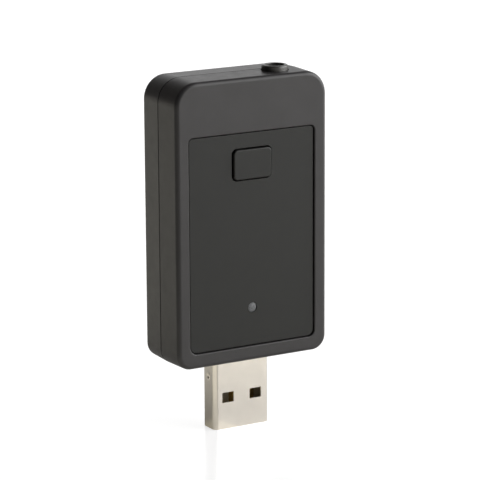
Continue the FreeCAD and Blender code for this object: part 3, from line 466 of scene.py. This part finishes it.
@dataclass(frozen=True)
class MouldedPlastic:
    """Moulded plastic with the fine grain of a spark-eroded mould."""

    name: str
    colour: Colour
    roughness: float = 0.45
    grain: float = 0.12
    depth: float = 0.006
    gloss: float = 0.5
    mottle: float = 0.08
    mottle_size: float = 4.0
    uneven: float = 0.03
    uneven_size: float = 1.3

    def material(self) -> Material:
        """Build the material: mottled colour, uneven gloss and grain."""
        nodes = Nodes(self.name)
        nodes.shader.inputs["Specular IOR Level"].default_value = self.gloss
        nodes.paint(nodes.noise(self.mottle_size, 3.0), mottled(self.colour, self.mottle))
        nodes.roughen(nodes.noise(self.uneven_size, 3.0), self.roughness, self.uneven)
        nodes.relief(nodes.noise(self.grain), self.depth)
        return nodes.material


@dataclass(frozen=True)
class PlatedMetal:
    """Rolled and plated sheet metal, with faint lines along its rolling direction."""

    name: str
    colour: Colour
    roughness: float = 0.28
    depth: float = 0.0006
    line: float = 0.06
    stretch: Tuple[float, float, float] = (1.0, 1.0, 0.02)
    mottle: float = 0.03
    mottle_size: float = 2.5
    uneven: float = 0.05

    def material(self) -> Material:
        """Build the material: rolled lines in gloss and relief over a slightly uneven tone."""
        nodes = Nodes(self.name)
        nodes.shader.inputs["Metallic"].default_value = 1.0
        nodes.paint(nodes.noise(self.mottle_size, 3.0), mottled(self.colour, self.mottle))
        lines = nodes.noise(self.line, 3.0, self.stretch)
        nodes.roughen(lines, self.roughness, self.uneven)
        nodes.relief(lines, self.depth)
        return nodes.material


@dataclass(frozen=True)
class MilkyClear:
    """Clear plastic with a milky body, as the status light's pipe."""

    name: str
    colour: Colour
    roughness: float = 0.3
    clear: float = 0.15
    refraction: float = 1.49
    mottle: float = 0.08
    mottle_size: float = 0.5
    uneven: float = 0.04
    uneven_size: float = 0.3

    def material(self) -> Material:
        """Build the material: cloudy body that lets a little light through."""
        nodes = Nodes(self.name)
        nodes.shader.inputs["Transmission Weight"].default_value = self.clear
        nodes.shader.inputs["IOR"].default_value = self.refraction
        nodes.paint(nodes.noise(self.mottle_size), mottled(self.colour, self.mottle))
        nodes.roughen(nodes.noise(self.uneven_size), self.roughness, self.uneven)
        return nodes.material


@dataclass(frozen=True)
class Laminate:
    """Board laminate under a solder mask, with tracks that show through as lighter runs."""

    name: str
    mask: Colour
    track: Colour
    cell: float = 2.4
    track_span: Pair = (0.42, 0.46)
    roughness: float = 0.35
    uneven: float = 0.05
    uneven_size: float = 1.0

    def material(self) -> Material:
        """Build the material: blocky runs of track under a glossy mask."""
        nodes = Nodes(self.name)
        place = nodes.add("TexCoord")
        cells = nodes.add(
            "TexVoronoi", feature="F1", distance="CHEBYCHEV", Scale=1 / (self.cell * MM),
        )
        nodes.join(place, "Object", cells, "Vector")
        nodes.paint(cells, (self.mask, self.track), self.track_span, "Distance")
        nodes.roughen(nodes.noise(self.uneven_size), self.roughness, self.uneven)
        return nodes.material


@dataclass(frozen=True)
class FinishRoom:
    """All finishes of the product, by the name of their material slot."""

    plans: Tuple[object, ...] = (
        MouldedPlastic("case_plastic", (0.0431, 0.0405, 0.0412), 0.38),
        MouldedPlastic("panel_plastic", (0.0095, 0.0098, 0.0082), 0.42, 0.1, 0.004, 0.45),
        MouldedPlastic("jack_plastic", (0.07, 0.067, 0.062), 0.33, 0.3, 0.001, 1.0),
        MouldedPlastic("insulator_plastic", (0.6, 0.53, 0.4), 0.4),
        MouldedPlastic("switch_plastic", (0.02, 0.02, 0.021), 0.4),
        MouldedPlastic("chip_resin", (0.025, 0.025, 0.027), 0.6, 0.08),
        MouldedPlastic("ferrite", (0.06, 0.06, 0.065), 0.7, 0.15, 0.01),
        MouldedPlastic("component_ceramic", (0.45, 0.36, 0.25), 0.4, 0.1, 0.002),
        PlatedMetal("nickel_plated_steel", (0.83, 0.78, 0.71), 0.2, 0.0002),
        PlatedMetal("gold_plated_brass", (0.83, 0.62, 0.28), 0.2),
        PlatedMetal("spring_brass", (0.72, 0.6, 0.36), 0.25),
        PlatedMetal("spring_steel", (0.6, 0.6, 0.6), 0.3),
        PlatedMetal("tinned_lead", (0.68, 0.68, 0.67), 0.35),
        MilkyClear("clear_plastic", (0.2, 0.205, 0.21)),
        Laminate("board_laminate", (0.012, 0.09, 0.035), (0.03, 0.16, 0.06)),
    )

    def mix_all(self) -> Dict[str, Material]:
        """Build every material.

        Returns:
            The materials by slot name.
        """
        return {plan.name: plan.material() for plan in self.plans}


# Pieces

@dataclass
class Workshop:
    """Hands out finishes and books each finished piece."""

    finishes: Dict[str, Material]
    made: List[str] = field(default_factory=list)

    def book(self, piece: Piece, slot: str, body: Body, stands_for: str) -> None:
        """Give a new piece its finish, its body and the node that it stands for.

        Args:
            piece: The new piece.
            slot: Material slot that its finish comes from.
            body: The body that it rides on.
            stands_for: The frame's node that it replaces.
        """
        piece.data.materials.clear()
        piece.data.materials.append(self.finishes[slot])
        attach(piece, body.value)
        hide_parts(stands_for)
        self.made.append(stands_for)
        LOG.info("%s: %d faces", piece.name, len(piece.data.polygons))

    def dress_rest(self) -> None:
        """Give every node that stays its finish, by the slot that the record names for it."""
        for row in frame["record"]["subparts"]:
            if row["node"] in self.made:
                continue
            node = frame["nodes"][row["node"]]
            node.data.materials.clear()
            node.data.materials.append(self.finishes[row["material_slot"]])
            LOG.info("%s keeps its solid, in %s", row["node"], row["material_slot"])


@dataclass
class Case:
    """The moulded case: two drafted halves that meet at a shadow gap."""

    width: float = 32.5
    low: float = 14.0
    height: float = 54.4
    parting_y: float = -0.25
    front_depth: float = 6.6
    rear_depth: float = 6.4
    top_radius: float = 4.6
    bottom_radius: float = 3.0
    draft_deg: float = 1.5
    wall: float = 1.3
    front_round: float = 0.8
    rear_round: float = 0.9
    half_gap: float = 0.1
    gap_round: float = 0.07
    lip: float = 0.65
    lip_height: float = 0.9
    lip_gap: float = 0.1
    pocket: Outline = Outline(-13.5, 13.5, 17.0, 58.0, 1.4, 0.9)
    pocket_floor_y: float = -5.85
    pocket_rim: float = 0.2
    inner_front_y: float = -5.15
    plug: Outline = Outline(-6.15, 6.15, -2.4, 2.4, 1.05, 1.05)
    plug_cut: Pair = (-1.3, 4.0)      # from the case's lower end
    collar_at: Pair = (7.5, -2.3)
    collar_radius: float = 2.65
    collar_cut: Pair = (-3.0, 1.0)    # from the case's upper end

    def outline(self) -> Outline:
        """The case's widest outline, on the parting line."""
        half = self.width / 2
        high = self.low + self.height
        return Outline(-half, half, self.low, high, self.bottom_radius, self.top_radius)

    def outer_run(self, half: Half) -> List[Pair]:
        """Run from the joint over the drafted wall to the flat of the outer face.

        The wall moves inwards by the tangent of the draft for each unit of depth, and both its
        ends are rounded with arcs that touch it.

        Args:
            half: Which half of the case.
        Returns:
            Depth from the parting line and inset of each ring.
        """
        slope = math.tan(math.radians(self.draft_deg))
        reach = self.front_depth if half is Half.FRONT else self.rear_depth
        radius = self.front_round if half is Half.FRONT else self.rear_round
        small = self.gap_round
        near = self.half_gap + small
        start = rounding(near, slope * near + small, small, -90.0, 0.0, steps=4)
        centre = reach - radius
        inset = slope * centre + radius / math.cos(math.radians(self.draft_deg))
        end = rounding(centre, inset, radius, self.draft_deg, 90.0, steps=12)
        wall = [
            (near + SUPPORT, slope * (near + SUPPORT)),
            (centre - SUPPORT, slope * (centre - SUPPORT)),
        ]
        return start + wall + end + [(reach, inset + SUPPORT)]

    def rings(self, half: Half, run: Sequence[Pair]) -> List[np.ndarray]:
        """Rings of the case's outline, at a run of depths from the parting line and insets."""
        return self.outline().loft([
            (self.parting_y + half.value * depth, inset) for depth, inset in run
        ])

    def cutters(self) -> List[Piece]:
        """Shapes of the plug's slot and of the collar's hole."""
        high = self.low + self.height
        slot = np.stack([self.plug.facing_up(self.low + reach) for reach in self.plug_cut])
        profile = np.array([[self.collar_radius, high + reach] for reach in self.collar_cut])
        hole = revolve(profile, self.collar_at, COLLAR_STEPS)
        return [skin("slot_cutter", slot), skin("hole_cutter", hole)]

    def front_half(self) -> Piece:
        """Front half: outer form, pocket with a rounded rim, lip, and openings.

        Returns:
            The piece.
        """
        lip_depth = -self.lip_height
        inside = [
            (self.parting_y - self.inner_front_y, self.wall),
            (lip_depth, self.wall),
            (lip_depth, self.wall - self.lip),
            (self.half_gap, self.wall - self.lip),
        ]
        rings = self.rings(Half.FRONT, inside + self.outer_run(Half.FRONT))
        rim = soft_edge(self.parting_y - self.front_depth, self.pocket_rim, steps=5)[::-1]
        rim += [(self.pocket_floor_y, 0.0)]
        rings += self.pocket.loft([(y, -grow) for y, grow in rim])
        piece = skin("case_front_half", np.stack(rings))
        carve(piece, self.cutters() + FrontPlate().opening_cutters())
        smooth(piece)
        return piece

    def rear_half(self) -> Piece:
        """Rear half: outer form with a plain back, and a rebate for the lip.

        Returns:
            The piece.
        """
        rebate = self.lip_height + self.lip_gap
        inside = [
            (self.rear_depth - self.wall, self.wall),
            (rebate, self.wall),
            (rebate, self.wall - self.lip - self.lip_gap),
            (self.half_gap, self.wall - self.lip - self.lip_gap),
        ]
        rings = self.rings(Half.REAR, inside + self.outer_run(Half.REAR))
        piece = skin("case_rear_half", np.stack(rings))
        carve(piece, self.cutters())
        smooth(piece)
        return piece

    def build(self, workshop: Workshop) -> None:
        """Make and book both halves."""
        workshop.book(self.front_half(), "case_plastic", Body.CASE, "front_shell")
        workshop.book(self.rear_half(), "case_plastic", Body.CASE, "rear_shell")


@dataclass
class FrontPlate:
    """The inlaid plate of the front face, with openings for the button and the light."""

    outline: Outline = Outline(-13.35, 13.35, 17.15, 57.85, 1.25, 0.75)
    face_y: float = -6.52
    back_y: float = -5.85
    edge: float = 0.1
    button: Outline = Outline(-4.3, 4.3, 48.9, 55.1, 1.1, 1.1)
    light_at: Pair = (0.0, 24.4)
    light_radius: float = 0.95
    cut_y: Pair = (-8.0, -4.0)

    def opening_cutters(self) -> List[Piece]:
        """Shapes of the button's opening and the light's hole, through plate and wall."""
        opening = np.stack([self.button.facing_front(y) for y in self.cut_y])
        profile = np.array([[self.light_radius, y] for y in self.cut_y])
        hole = forward(revolve(profile, (0.0, 0.0), LIGHT_STEPS), *self.light_at)
        return [skin("opening_cutter", opening), skin("light_cutter", hole)]

    def build(self, workshop: Workshop) -> None:
        """Make and book the plate, with a soft front edge."""
        run = [(self.back_y, 0.0)] + soft_edge(self.face_y, self.edge, steps=4)
        piece = skin("front_plate", np.stack(self.outline.loft(run)))
        carve(piece, self.opening_cutters())
        smooth(piece)
        workshop.book(piece, "panel_plastic", Body.CASE, "front_panel")


@dataclass
class PushButton:
    """The push button: a cap with a soft front edge that reaches behind the case's wall."""

    outline: Outline = Outline(-4.05, 4.05, 49.15, 54.85, 0.85, 0.85)
    face_y: float = -7.0
    back_y: float = -4.4
    edge: float = 0.25

    def build(self, workshop: Workshop) -> None:
        """Make and book the cap."""
        run = [(self.back_y, 0.0), (self.face_y + self.edge + SUPPORT, 0.0)]
        run += soft_edge(self.face_y, self.edge, steps=9)
        piece = skin("button_cap", np.stack(self.outline.loft(run)))
        smooth(piece)
        workshop.book(piece, "panel_plastic", Body.BUTTON, "push_button")


@dataclass
class StatusLight:
    """The clear pipe of the status light, with a slightly domed end."""

    at: Pair = (0.0, 24.4)
    radius: float = 0.9
    face_y: float = -6.52
    back_y: float = -0.6
    flange_y: Pair = (-5.15, -4.45)
    flange_radius: float = 1.6
    dome: float = 0.12
    dome_rings: int = 9

    def build(self, workshop: Workshop) -> None:
        """Make and book the pipe, turned about its axis.

        Its end is a flat dome: it stands back by the dome's height times the cube of the distance
        from the axis, in shares of the radius.
        """
        across = np.linspace(LEAST_RADIUS, 1.0, self.dome_rings)
        lens = np.column_stack([self.radius * across, self.face_y + self.dome * across ** 3])
        front, back = self.flange_y
        body = np.array([
            [self.radius, front], [self.flange_radius, front], [self.flange_radius, back],
            [self.radius, back], [self.radius, self.back_y], [LEAST_RADIUS, self.back_y],
        ])
        rings = forward(revolve(np.vstack([lens, body]), (0.0, 0.0), PIPE_STEPS), *self.at)
        piece = skin("light_window", rings)
        smooth(piece)
        workshop.book(piece, "clear_plastic", Body.CASE, "light_pipe")


@dataclass
class AudioJack:
    """The stereo jack: a block with a round collar that stands out of the case."""

    at: Pair = (7.5, -2.3)
    collar_radius: float = 2.5
    collar_round: float = 0.3
    bore_radius: float = 1.8
    bore_round: float = 0.2
    top_z: float = 69.35
    body_top: float = 66.9
    body_low: float = 55.2
    body_half: Pair = (3.0, 2.6)
    windows: Tuple[Tuple[int, float], ...] = ((-1, 63.9), (1, 60.5), (-1, 57.3))
    window_half: Pair = (0.95, 1.55)
    overcut: float = 0.5

    def body_ring(self, z: float) -> np.ndarray:
        """Ring of the block's section: the radius at each turn is that of a rectangle."""
        turns = np.linspace(0.0, 2 * np.pi, COLLAR_STEPS, endpoint=False)
        half_x, half_y = self.body_half
        with np.errstate(divide="ignore"):
            radius = np.minimum(half_x / np.abs(np.cos(turns)), half_y / np.abs(np.sin(turns)))
        return np.column_stack([
            self.at[0] + radius * np.cos(turns), self.at[1] + radius * np.sin(turns),
            np.full(COLLAR_STEPS, z),
        ])

    def profile(self) -> np.ndarray:
        """Radii and heights up the collar, over its top and down the bore.

        Both edges of the top are quarter circles: they leave the collar's and the bore's radius,
        and the top's height, by their own radius times (1 - cosine) or (1 - sine) of the turn.

        Returns:
            Array of shape (count, 2).
        """
        arc = quarter(8)
        outer, bore = self.collar_round, self.bore_round
        collar = np.column_stack([
            self.collar_radius - outer * (1 - np.cos(arc)), self.top_z - outer * (1 - np.sin(arc)),
        ])
        mouth = np.column_stack([
            self.bore_radius + bore * (1 - np.sin(arc)), self.top_z - bore * (1 - np.cos(arc)),
        ])
        return np.vstack([
            [self.collar_radius, self.body_top], [self.collar_radius, self.top_z - outer - SUPPORT],
            collar, mouth, [self.bore_radius, self.body_low],
        ])

    def window_cutters(self) -> List[Piece]:
        """Blocks from the bore's axis out through one side, a window for each spring."""
        half_y, half_z = self.window_half
        cutters = []
        for side, middle in self.windows:
            near, far = sorted((self.at[0], self.at[0] + side * (self.body_half[0] + self.overcut)))
            low = (near, self.at[1] - half_y, middle - half_z)
            high = (far, self.at[1] + half_y, middle + half_z)
            cutters.append(skin("window_cutter", box_rings(low, high)))
        return cutters

    def build(self, workshop: Workshop) -> None:
        """Make and book the jack: block, rounded collar and bore as one closed skin."""
        rings = [self.body_ring(self.body_low), self.body_ring(self.body_top)]
        rings += list(revolve(self.profile(), self.at, COLLAR_STEPS))
        piece = skin("jack", np.stack(rings), looped=True)
        carve(piece, self.window_cutters())
        smooth(piece)
        workshop.book(piece, "jack_plastic", Body.CASE, "jack_housing")


@dataclass
class PlugSleeve:
    """The folded sheet-metal sleeve of the plug, with latch holes, seam and side pips."""

    width: float = 12.0
    thickness: float = 4.5
    length: float = 18.75
    sheet: float = 0.3
    corner: float = 0.9
    end: float = 0.1                    # from each end to the ring that supports it
    hole: Pair = (2.5, 2.0)
    hole_low: float = 5.16
    hole_apart: float = 6.0
    hole_round: float = 0.12
    hole_cut_y: Pair = (-4.0, 4.0)
    pip_z: float = 10.4
    pip_half: Pair = (0.7, 0.95)
    pip_depth: float = 0.22
    pip_power: float = 1.7
    fine_half: Pair = (0.75, 1.0)       # half width and half length of the fine grid at a pip
    fine_count: Tuple[int, int] = (25, 31)
    seam: float = 0.1
    seam_overrun: float = 1.0
    dovetail: Pair = (8.0, 10.5)
    dovetail_reach: float = 1.2
    dovetail_flare: float = 0.4
    soft: float = 0.04

    def section(self, inset: float) -> np.ndarray:
        """Points round the sleeve, with a fine row on each side where the pips are.

        Args:
            inset: Distance inside the sleeve's outer face.
        Returns:
            Array of shape (points, 2).
        """
        half_x, half_y = self.width / 2 - inset, self.thickness / 2 - inset
        radius = self.corner - inset
        run = Outline(-half_x, half_x, -half_y, half_y, radius, radius).points()
        fine = np.linspace(-self.fine_half[0], self.fine_half[0], self.fine_count[0])
        right = np.column_stack([np.full(len(fine), half_x), fine])
        left = np.column_stack([np.full(len(fine), -half_x), fine[::-1]])
        size = CORNER_STEPS + 3
        return np.vstack([run[:size], right, run[size:3 * size], left, run[3 * size:]])

    def wall(self, inset: float, depth: float) -> np.ndarray:
        """Rings up one face of the sleeve, with a pip pressed into each of its sides.

        A pip is a shallow bowl: its depth times (1 - q) to the power 1.7, where q is the squared
        distance from its middle, in shares of its half width and half length.

        Args:
            inset: Distance inside the sleeve's outer face.
            depth: Depth of the pips on this face.
        Returns:
            Array of shape (heights, points, 3).
        """
        run = self.section(inset)
        reach = self.fine_half[1]
        fine = np.linspace(self.pip_z - reach, self.pip_z + reach, self.fine_count[1])
        heights = np.concatenate([[0.0, self.end], fine, [self.length - self.end, self.length]])
        rings = np.empty((len(heights), len(run), 3))
        rings[..., :2] = run
        rings[..., 2] = heights[:, None]
        x, y, z = rings[..., 0], rings[..., 1], rings[..., 2]
        q = (y / self.pip_half[0]) ** 2 + ((z - self.pip_z) / self.pip_half[1]) ** 2
        bowl = depth * np.clip(1 - q, 0, None) ** self.pip_power
        on_side = np.abs(x) > self.width / 2 - inset - TINY
        rings[..., 0] = x - np.where(on_side, np.sign(x) * bowl, 0)
        return rings

    def seam_rings(self) -> np.ndarray:
        """Thin wall along the seam's zigzag, a dovetail in the middle of a straight cut.

        A square section is carried along the line. At each corner it stands on the mean of the two
        normals, lengthened so that both runs keep their width.

        Returns:
            Array of shape (corners of the line, 4, 3).
        """
        low, high = self.dovetail
        reach, flare, over = self.dovetail_reach, self.dovetail_flare, self.seam_overrun
        line = np.array([
            [0, -over], [0, low], [-reach, low - flare], [-reach, high + flare], [0, high],
            [0, self.length + over],
        ])
        runs = np.diff(line, axis=0)
        runs /= np.linalg.norm(runs, axis=1, keepdims=True)
        normals = np.column_stack([runs[:, 1], -runs[:, 0]])
        before, after = np.vstack([normals[:1], normals]), np.vstack([normals, normals[-1:]])
        mean = (before + after) / np.linalg.norm(before + after, axis=1, keepdims=True)
        mean *= self.seam / 2 / np.sum(mean * after, axis=1, keepdims=True)
        deep, out = self.thickness / 2 - 2 * self.sheet, self.thickness
        edges = [(line - mean, deep), (line + mean, deep), (line + mean, out), (line - mean, out)]
        return np.stack([np.insert(run, 1, y, axis=1) for run, y in edges], axis=1)

    def latch_cutters(self) -> List[Piece]:
        """Shapes of the latch holes, through both broad sides."""
        width, height = self.hole
        low, high = self.hole_low, self.hole_low + height
        cutters = []
        for side in (-1, 1):
            left = side * self.hole_apart / 2 - width / 2
            hole = Outline(left, left + width, low, high, self.hole_round, self.hole_round)
            rings = np.stack([hole.facing_front(y) for y in self.hole_cut_y])
            cutters.append(skin("latch_cutter", rings))
        return cutters

    def build(self, workshop: Workshop) -> None:
        """Make and book the sleeve: outer and inner wall as one closed skin, then the cuts."""
        outer = self.wall(0.0, self.pip_depth)
        inner = self.wall(self.sheet, 0.0)[::-1]
        piece = skin("plug_sleeve", np.concatenate([outer, inner]), looped=True)
        carve(piece, [skin("seam_cutter", self.seam_rings())] + self.latch_cutters())
        smooth(piece)
        soften(piece, self.soft)
        workshop.book(piece, "nickel_plated_steel", Body.CASE, "usb_shell")


# Stage

@dataclass(frozen=True)
class Glow:
    """A round soft light in the surroundings: full inside one angle, nothing outside another.

    The azimuth runs from the way the front panel faces (-Y) towards +X.
    """

    azimuth_deg: float
    elevation_deg: float
    inner_deg: float
    outer_deg: float
    level: float
    colour: Colour = WHITE

    def direction(self) -> Vector:
        """Unit vector from the product to the middle of the light."""
        a, e = math.radians(self.azimuth_deg), math.radians(self.elevation_deg)
        return Vector((math.sin(a) * math.cos(e), -math.cos(a) * math.cos(e), math.sin(e)))

    def level_for(self, tree: bpy.types.NodeTree, unit: Socket) -> Socket:
        """Add the nodes that work out the light's level.

        It is a smooth step of the cosine between a direction and the middle of the light.

        Args:
            tree: Tree that the nodes go into.
            unit: Unit vector of the direction.
        Returns:
            The level in that direction.
        """
        cosine, step = tree.nodes.new("ShaderNodeVectorMath"), tree.nodes.new("ShaderNodeMapRange")
        cosine.operation = "DOT_PRODUCT"
        cosine.inputs[1].default_value = self.direction()
        tree.links.new(unit, cosine.inputs[0])
        step.interpolation_type = "SMOOTHSTEP"
        step.inputs["From Min"].default_value = math.cos(math.radians(self.outer_deg))
        step.inputs["From Max"].default_value = math.cos(math.radians(self.inner_deg))
        step.inputs["To Max"].default_value = self.level
        tree.links.new(cosine.outputs["Value"], step.inputs["Value"])
        return step.outputs[0]


@dataclass(frozen=True)
class PaintedLightPool:
    """A lighter sector of the floor, seen by metal and glossy plastic.

    Its level adds to the floor's own, as a painted pool of light in the floor's glow. It is none at
    one distance from the plug and full at the other.
    """

    sector: Glow
    none_at: float
    full_at: float


@dataclass
class Studio:
    """Camera, floor and surroundings.

    Each of floor_tone, floor_gloss and floor_glow holds what the camera sees and what all other
    rays see. The fade of the painted shadow near the plug is a start, an end and the share that is
    left at the start.
    """

    focal_px: float = 2602.546
    image_px: float = 480.0
    azimuth_deg: float = 29.998
    elevation_deg: float = 13.314
    roll_deg: float = -0.337
    target: Tuple[float, float, float] = (1.137, 0.0, 35.934)
    distance: float = 492.458
    nearest: float = 10.0
    room: float = 0.02
    glows: Tuple[Glow, ...] = (
        Glow(60.0, 12.0, 17.5, 50.0, 4.0),
        Glow(-160.0, 28.0, 10.0, 60.0, 0.1, (1.0, 0.92, 0.85)),
    )
    backdrop: Glow = Glow(150.0, 0.0, 18.0, 41.0, 1.0)
    floor_half: float = 1500.0
    floor_z: float = -0.02
    floor_roughness: float = 0.2
    floor_tone: Pair = (0.5, 0.8)
    floor_gloss: Pair = (0.5, 0.08)
    floor_glow: Pair = (0.73, 0.0)
    floor_mirrored: float = 0.28
    floor_warmth: Colour = (1.0, 0.95, 0.78)
    # painted shadow: the floor's glow that metal and glass see fades towards the plug, in place of
    # the product's shadow
    painted_shadow_fade: Tuple[float, float, float] = (6.0, 70.0, 0.35)
    # painted pools of light in the floor's glow, seen by metal and glass
    painted_light_pools: Tuple[PaintedLightPool, ...] = (
        PaintedLightPool(Glow(-64.0, 0.0, 38.0, 60.0, 1.7), 80.0, 45.0),
        PaintedLightPool(Glow(-160.0, 0.0, 20.0, 40.0, 0.7), 55.0, 85.0),
    )

    def set_camera(self) -> None:
        """Place the camera by the solved azimuth, elevation, roll and distance."""
        a, e, r = (math.radians(v) for v in (self.azimuth_deg, self.elevation_deg, self.roll_deg))
        back = Vector((-math.sin(a) * math.cos(e), -math.cos(a) * math.cos(e), math.sin(e)))
        right = (-back).cross(Vector((0, 0, 1))).normalized()
        up = right.cross(-back)
        across = right * math.cos(r) + up * math.sin(r)
        upright = -right * math.sin(r) + up * math.cos(r)
        data = bpy.data.cameras.new("camera")
        data.sensor_width = SENSOR_MM
        data.lens = self.focal_px / self.image_px * SENSOR_MM
        data.clip_start = self.nearest * MM
        camera = bpy.data.objects.new("camera", data)
        bpy.context.scene.collection.objects.link(camera)
        turn = Matrix((across, upright, back)).transposed().to_4x4()
        place = (Vector(self.target) + back * self.distance) * MM
        camera.matrix_world = Matrix.Translation(place) @ turn
        bpy.context.scene.camera = camera

    def floor_light(self, nodes: Nodes) -> Socket:
        """Add the nodes for how bright metal and glass see the floor.

        It fades smoothly towards the plug: a painted shadow, where the product keeps the light off.
        Each painted pool of light adds its sector's level times its share at that distance, times
        the fade.

        Args:
            nodes: The floor's nodes.
        Returns:
            The brightness, in shares of the mirrored level.
        """
        link = nodes.tree.links.new
        place = nodes.add("TexCoord")
        away, unit = (nodes.add("VectorMath", operation=use) for use in ("LENGTH", "NORMALIZE"))
        nodes.join(place, "Object", away, "Vector")
        nodes.join(place, "Object", unit, "Vector")

        def by_distance(start: float, end: float, least: float = 0.0) -> Socket:
            """Smooth step of the distance from the plug, from a least value to 1."""
            step = nodes.add(
                "MapRange", interpolation_type="SMOOTHSTEP",
                From_Min=start * MM, From_Max=end * MM, To_Min=least,
            )
            nodes.join(away, "Value", step, "Value")
            return step.outputs["Result"]

        # painted shadow of the product in the floor's glow, darker near the plug
        fade = bright = by_distance(*self.painted_shadow_fade)
        # each painted pool of light adds its level to the glow
        for patch in self.painted_light_pools:
            more = nodes.add("Math", operation="MULTIPLY")
            total = nodes.add("Math", operation="MULTIPLY_ADD")
            link(patch.sector.level_for(nodes.tree, unit.outputs["Vector"]), more.inputs[0])
            link(by_distance(patch.none_at, patch.full_at), more.inputs[1])
            link(more.outputs[0], total.inputs[0])
            link(fade, total.inputs[1])
            link(bright, total.inputs[2])
            bright = total.outputs[0]
        return bright

    def floor_finish(self) -> Material:
        """Build the floor's material: glossy, and glowing to the camera, metal and glass.

        Returns:
            The material.
        """
        nodes = Nodes("floor_paper")
        link = nodes.tree.links.new
        nodes.shader.inputs["Roughness"].default_value = self.floor_roughness
        path = nodes.add("LightPath")
        tone, gloss, shown = (nodes.add("Math", operation="MULTIPLY_ADD") for _ in range(3))
        pairs = ((tone, self.floor_tone), (gloss, self.floor_gloss), (shown, self.floor_glow))
        for node, (seen, unseen) in pairs:
            link(path.outputs["Is Camera Ray"], node.inputs[0])
            node.inputs[1].default_value = seen - unseen
            node.inputs[2].default_value = unseen
        link(tone.outputs[0], nodes.shader.inputs["Base Color"])
        link(gloss.outputs[0], nodes.shader.inputs["Specular IOR Level"])
        # glow that metal and glass see in the floor, with its painted shadow near the plug and its
        # painted pools of light
        mirrored = nodes.add("Math", operation="ADD")
        faded = nodes.add("Math", operation="MULTIPLY")
        link(path.outputs["Is Glossy Ray"], mirrored.inputs[0])
        link(path.outputs["Is Transmission Ray"], mirrored.inputs[1])
        link(mirrored.outputs[0], faded.inputs[0])
        link(self.floor_light(nodes), faded.inputs[1])
        warm = tuple(channel * self.floor_mirrored for channel in self.floor_warmth)
        light = nodes.shader
        for colour, strength in ((WHITE, shown), (warm, faded)):
            glow, both = nodes.add("Emission", Color=(*colour, 1)), nodes.add("AddShader")
            link(strength.outputs[0], glow.inputs["Strength"])
            link(light.outputs[0], both.inputs[0])
            link(glow.outputs[0], both.inputs[1])
            light = both
        link(light.outputs[0], nodes.output.inputs["Surface"])
        return nodes.material

    def lay_floor(self) -> None:
        """Lay a pale glossy floor that keeps a light shadow and reflection of the product."""
        half, z = self.floor_half, self.floor_z
        square = np.array([[-half, -half, z], [half, -half, z], [half, half, z], [-half, half, z]])
        mesh = bpy.data.meshes.new("floor")
        mesh.from_pydata((square * MM).tolist(), [], [(0, 1, 2, 3)])
        floor = bpy.data.objects.new("floor", mesh)
        bpy.context.scene.collection.objects.link(floor)
        mesh.materials.append(self.floor_finish())

    def set_world(self) -> None:
        """Surround the stage with soft light.

        The backdrop behind the product is white to metal and glass, and the camera sees white all
        round.
        """
        world = bpy.data.worlds.new("studio")
        bpy.context.scene.world = world
        world.use_nodes = True
        tree = world.node_tree
        tree.nodes.clear()
        new, link = tree.nodes.new, tree.links.new
        ray = new("ShaderNodeTexCoord").outputs["Generated"]

        def ground(colour: Colour, strength: float = 1.0) -> Node:
            """Background of one colour and strength."""
            node = new("ShaderNodeBackground")
            node.inputs["Color"].default_value = (*colour, 1)
            node.inputs["Strength"].default_value = strength
            return node

        light = ground(WHITE, self.room)
        for glow in self.glows:
            lit, both = ground(glow.colour), new("ShaderNodeAddShader")
            link(glow.level_for(tree, ray), lit.inputs["Strength"])
            link(light.outputs[0], both.inputs[0])
            link(lit.outputs[0], both.inputs[1])
            light = both
        path = new("ShaderNodeLightPath")
        mirrored, behind, white = (new("ShaderNodeMath") for _ in range(3))
        mirrored.operation, behind.operation, white.operation = "ADD", "MULTIPLY", "MAXIMUM"
        link(path.outputs["Is Glossy Ray"], mirrored.inputs[0])
        link(path.outputs["Is Transmission Ray"], mirrored.inputs[1])
        link(mirrored.outputs[0], behind.inputs[0])
        link(self.backdrop.level_for(tree, ray), behind.inputs[1])
        link(behind.outputs[0], white.inputs[0])
        link(path.outputs["Is Camera Ray"], white.inputs[1])
        output, mix = new("ShaderNodeOutputWorld"), new("ShaderNodeMixShader")
        link(white.outputs[0], mix.inputs[0])
        link(light.outputs[0], mix.inputs[1])
        link(ground(WHITE).outputs[0], mix.inputs[2])
        link(mix.outputs[0], output.inputs["Surface"])

    def build(self) -> None:
        """Set up the whole stage."""
        self.set_camera()
        self.lay_floor()
        self.set_world()
        bpy.context.scene.view_settings.view_transform = "Standard"


def main() -> None:
    """Build every sub-assembly in order and set the stage."""
    logging.basicConfig(level=logging.INFO, format="%(name)s: %(message)s")
    workshop = Workshop(FinishRoom().mix_all())
    for assembly in (Case(), FrontPlate(), PushButton(), StatusLight(), AudioJack(), PlugSleeve()):
        assembly.build(workshop)
    workshop.dress_rest()
    Studio().build()


if __name__ == "__main__":
    main()
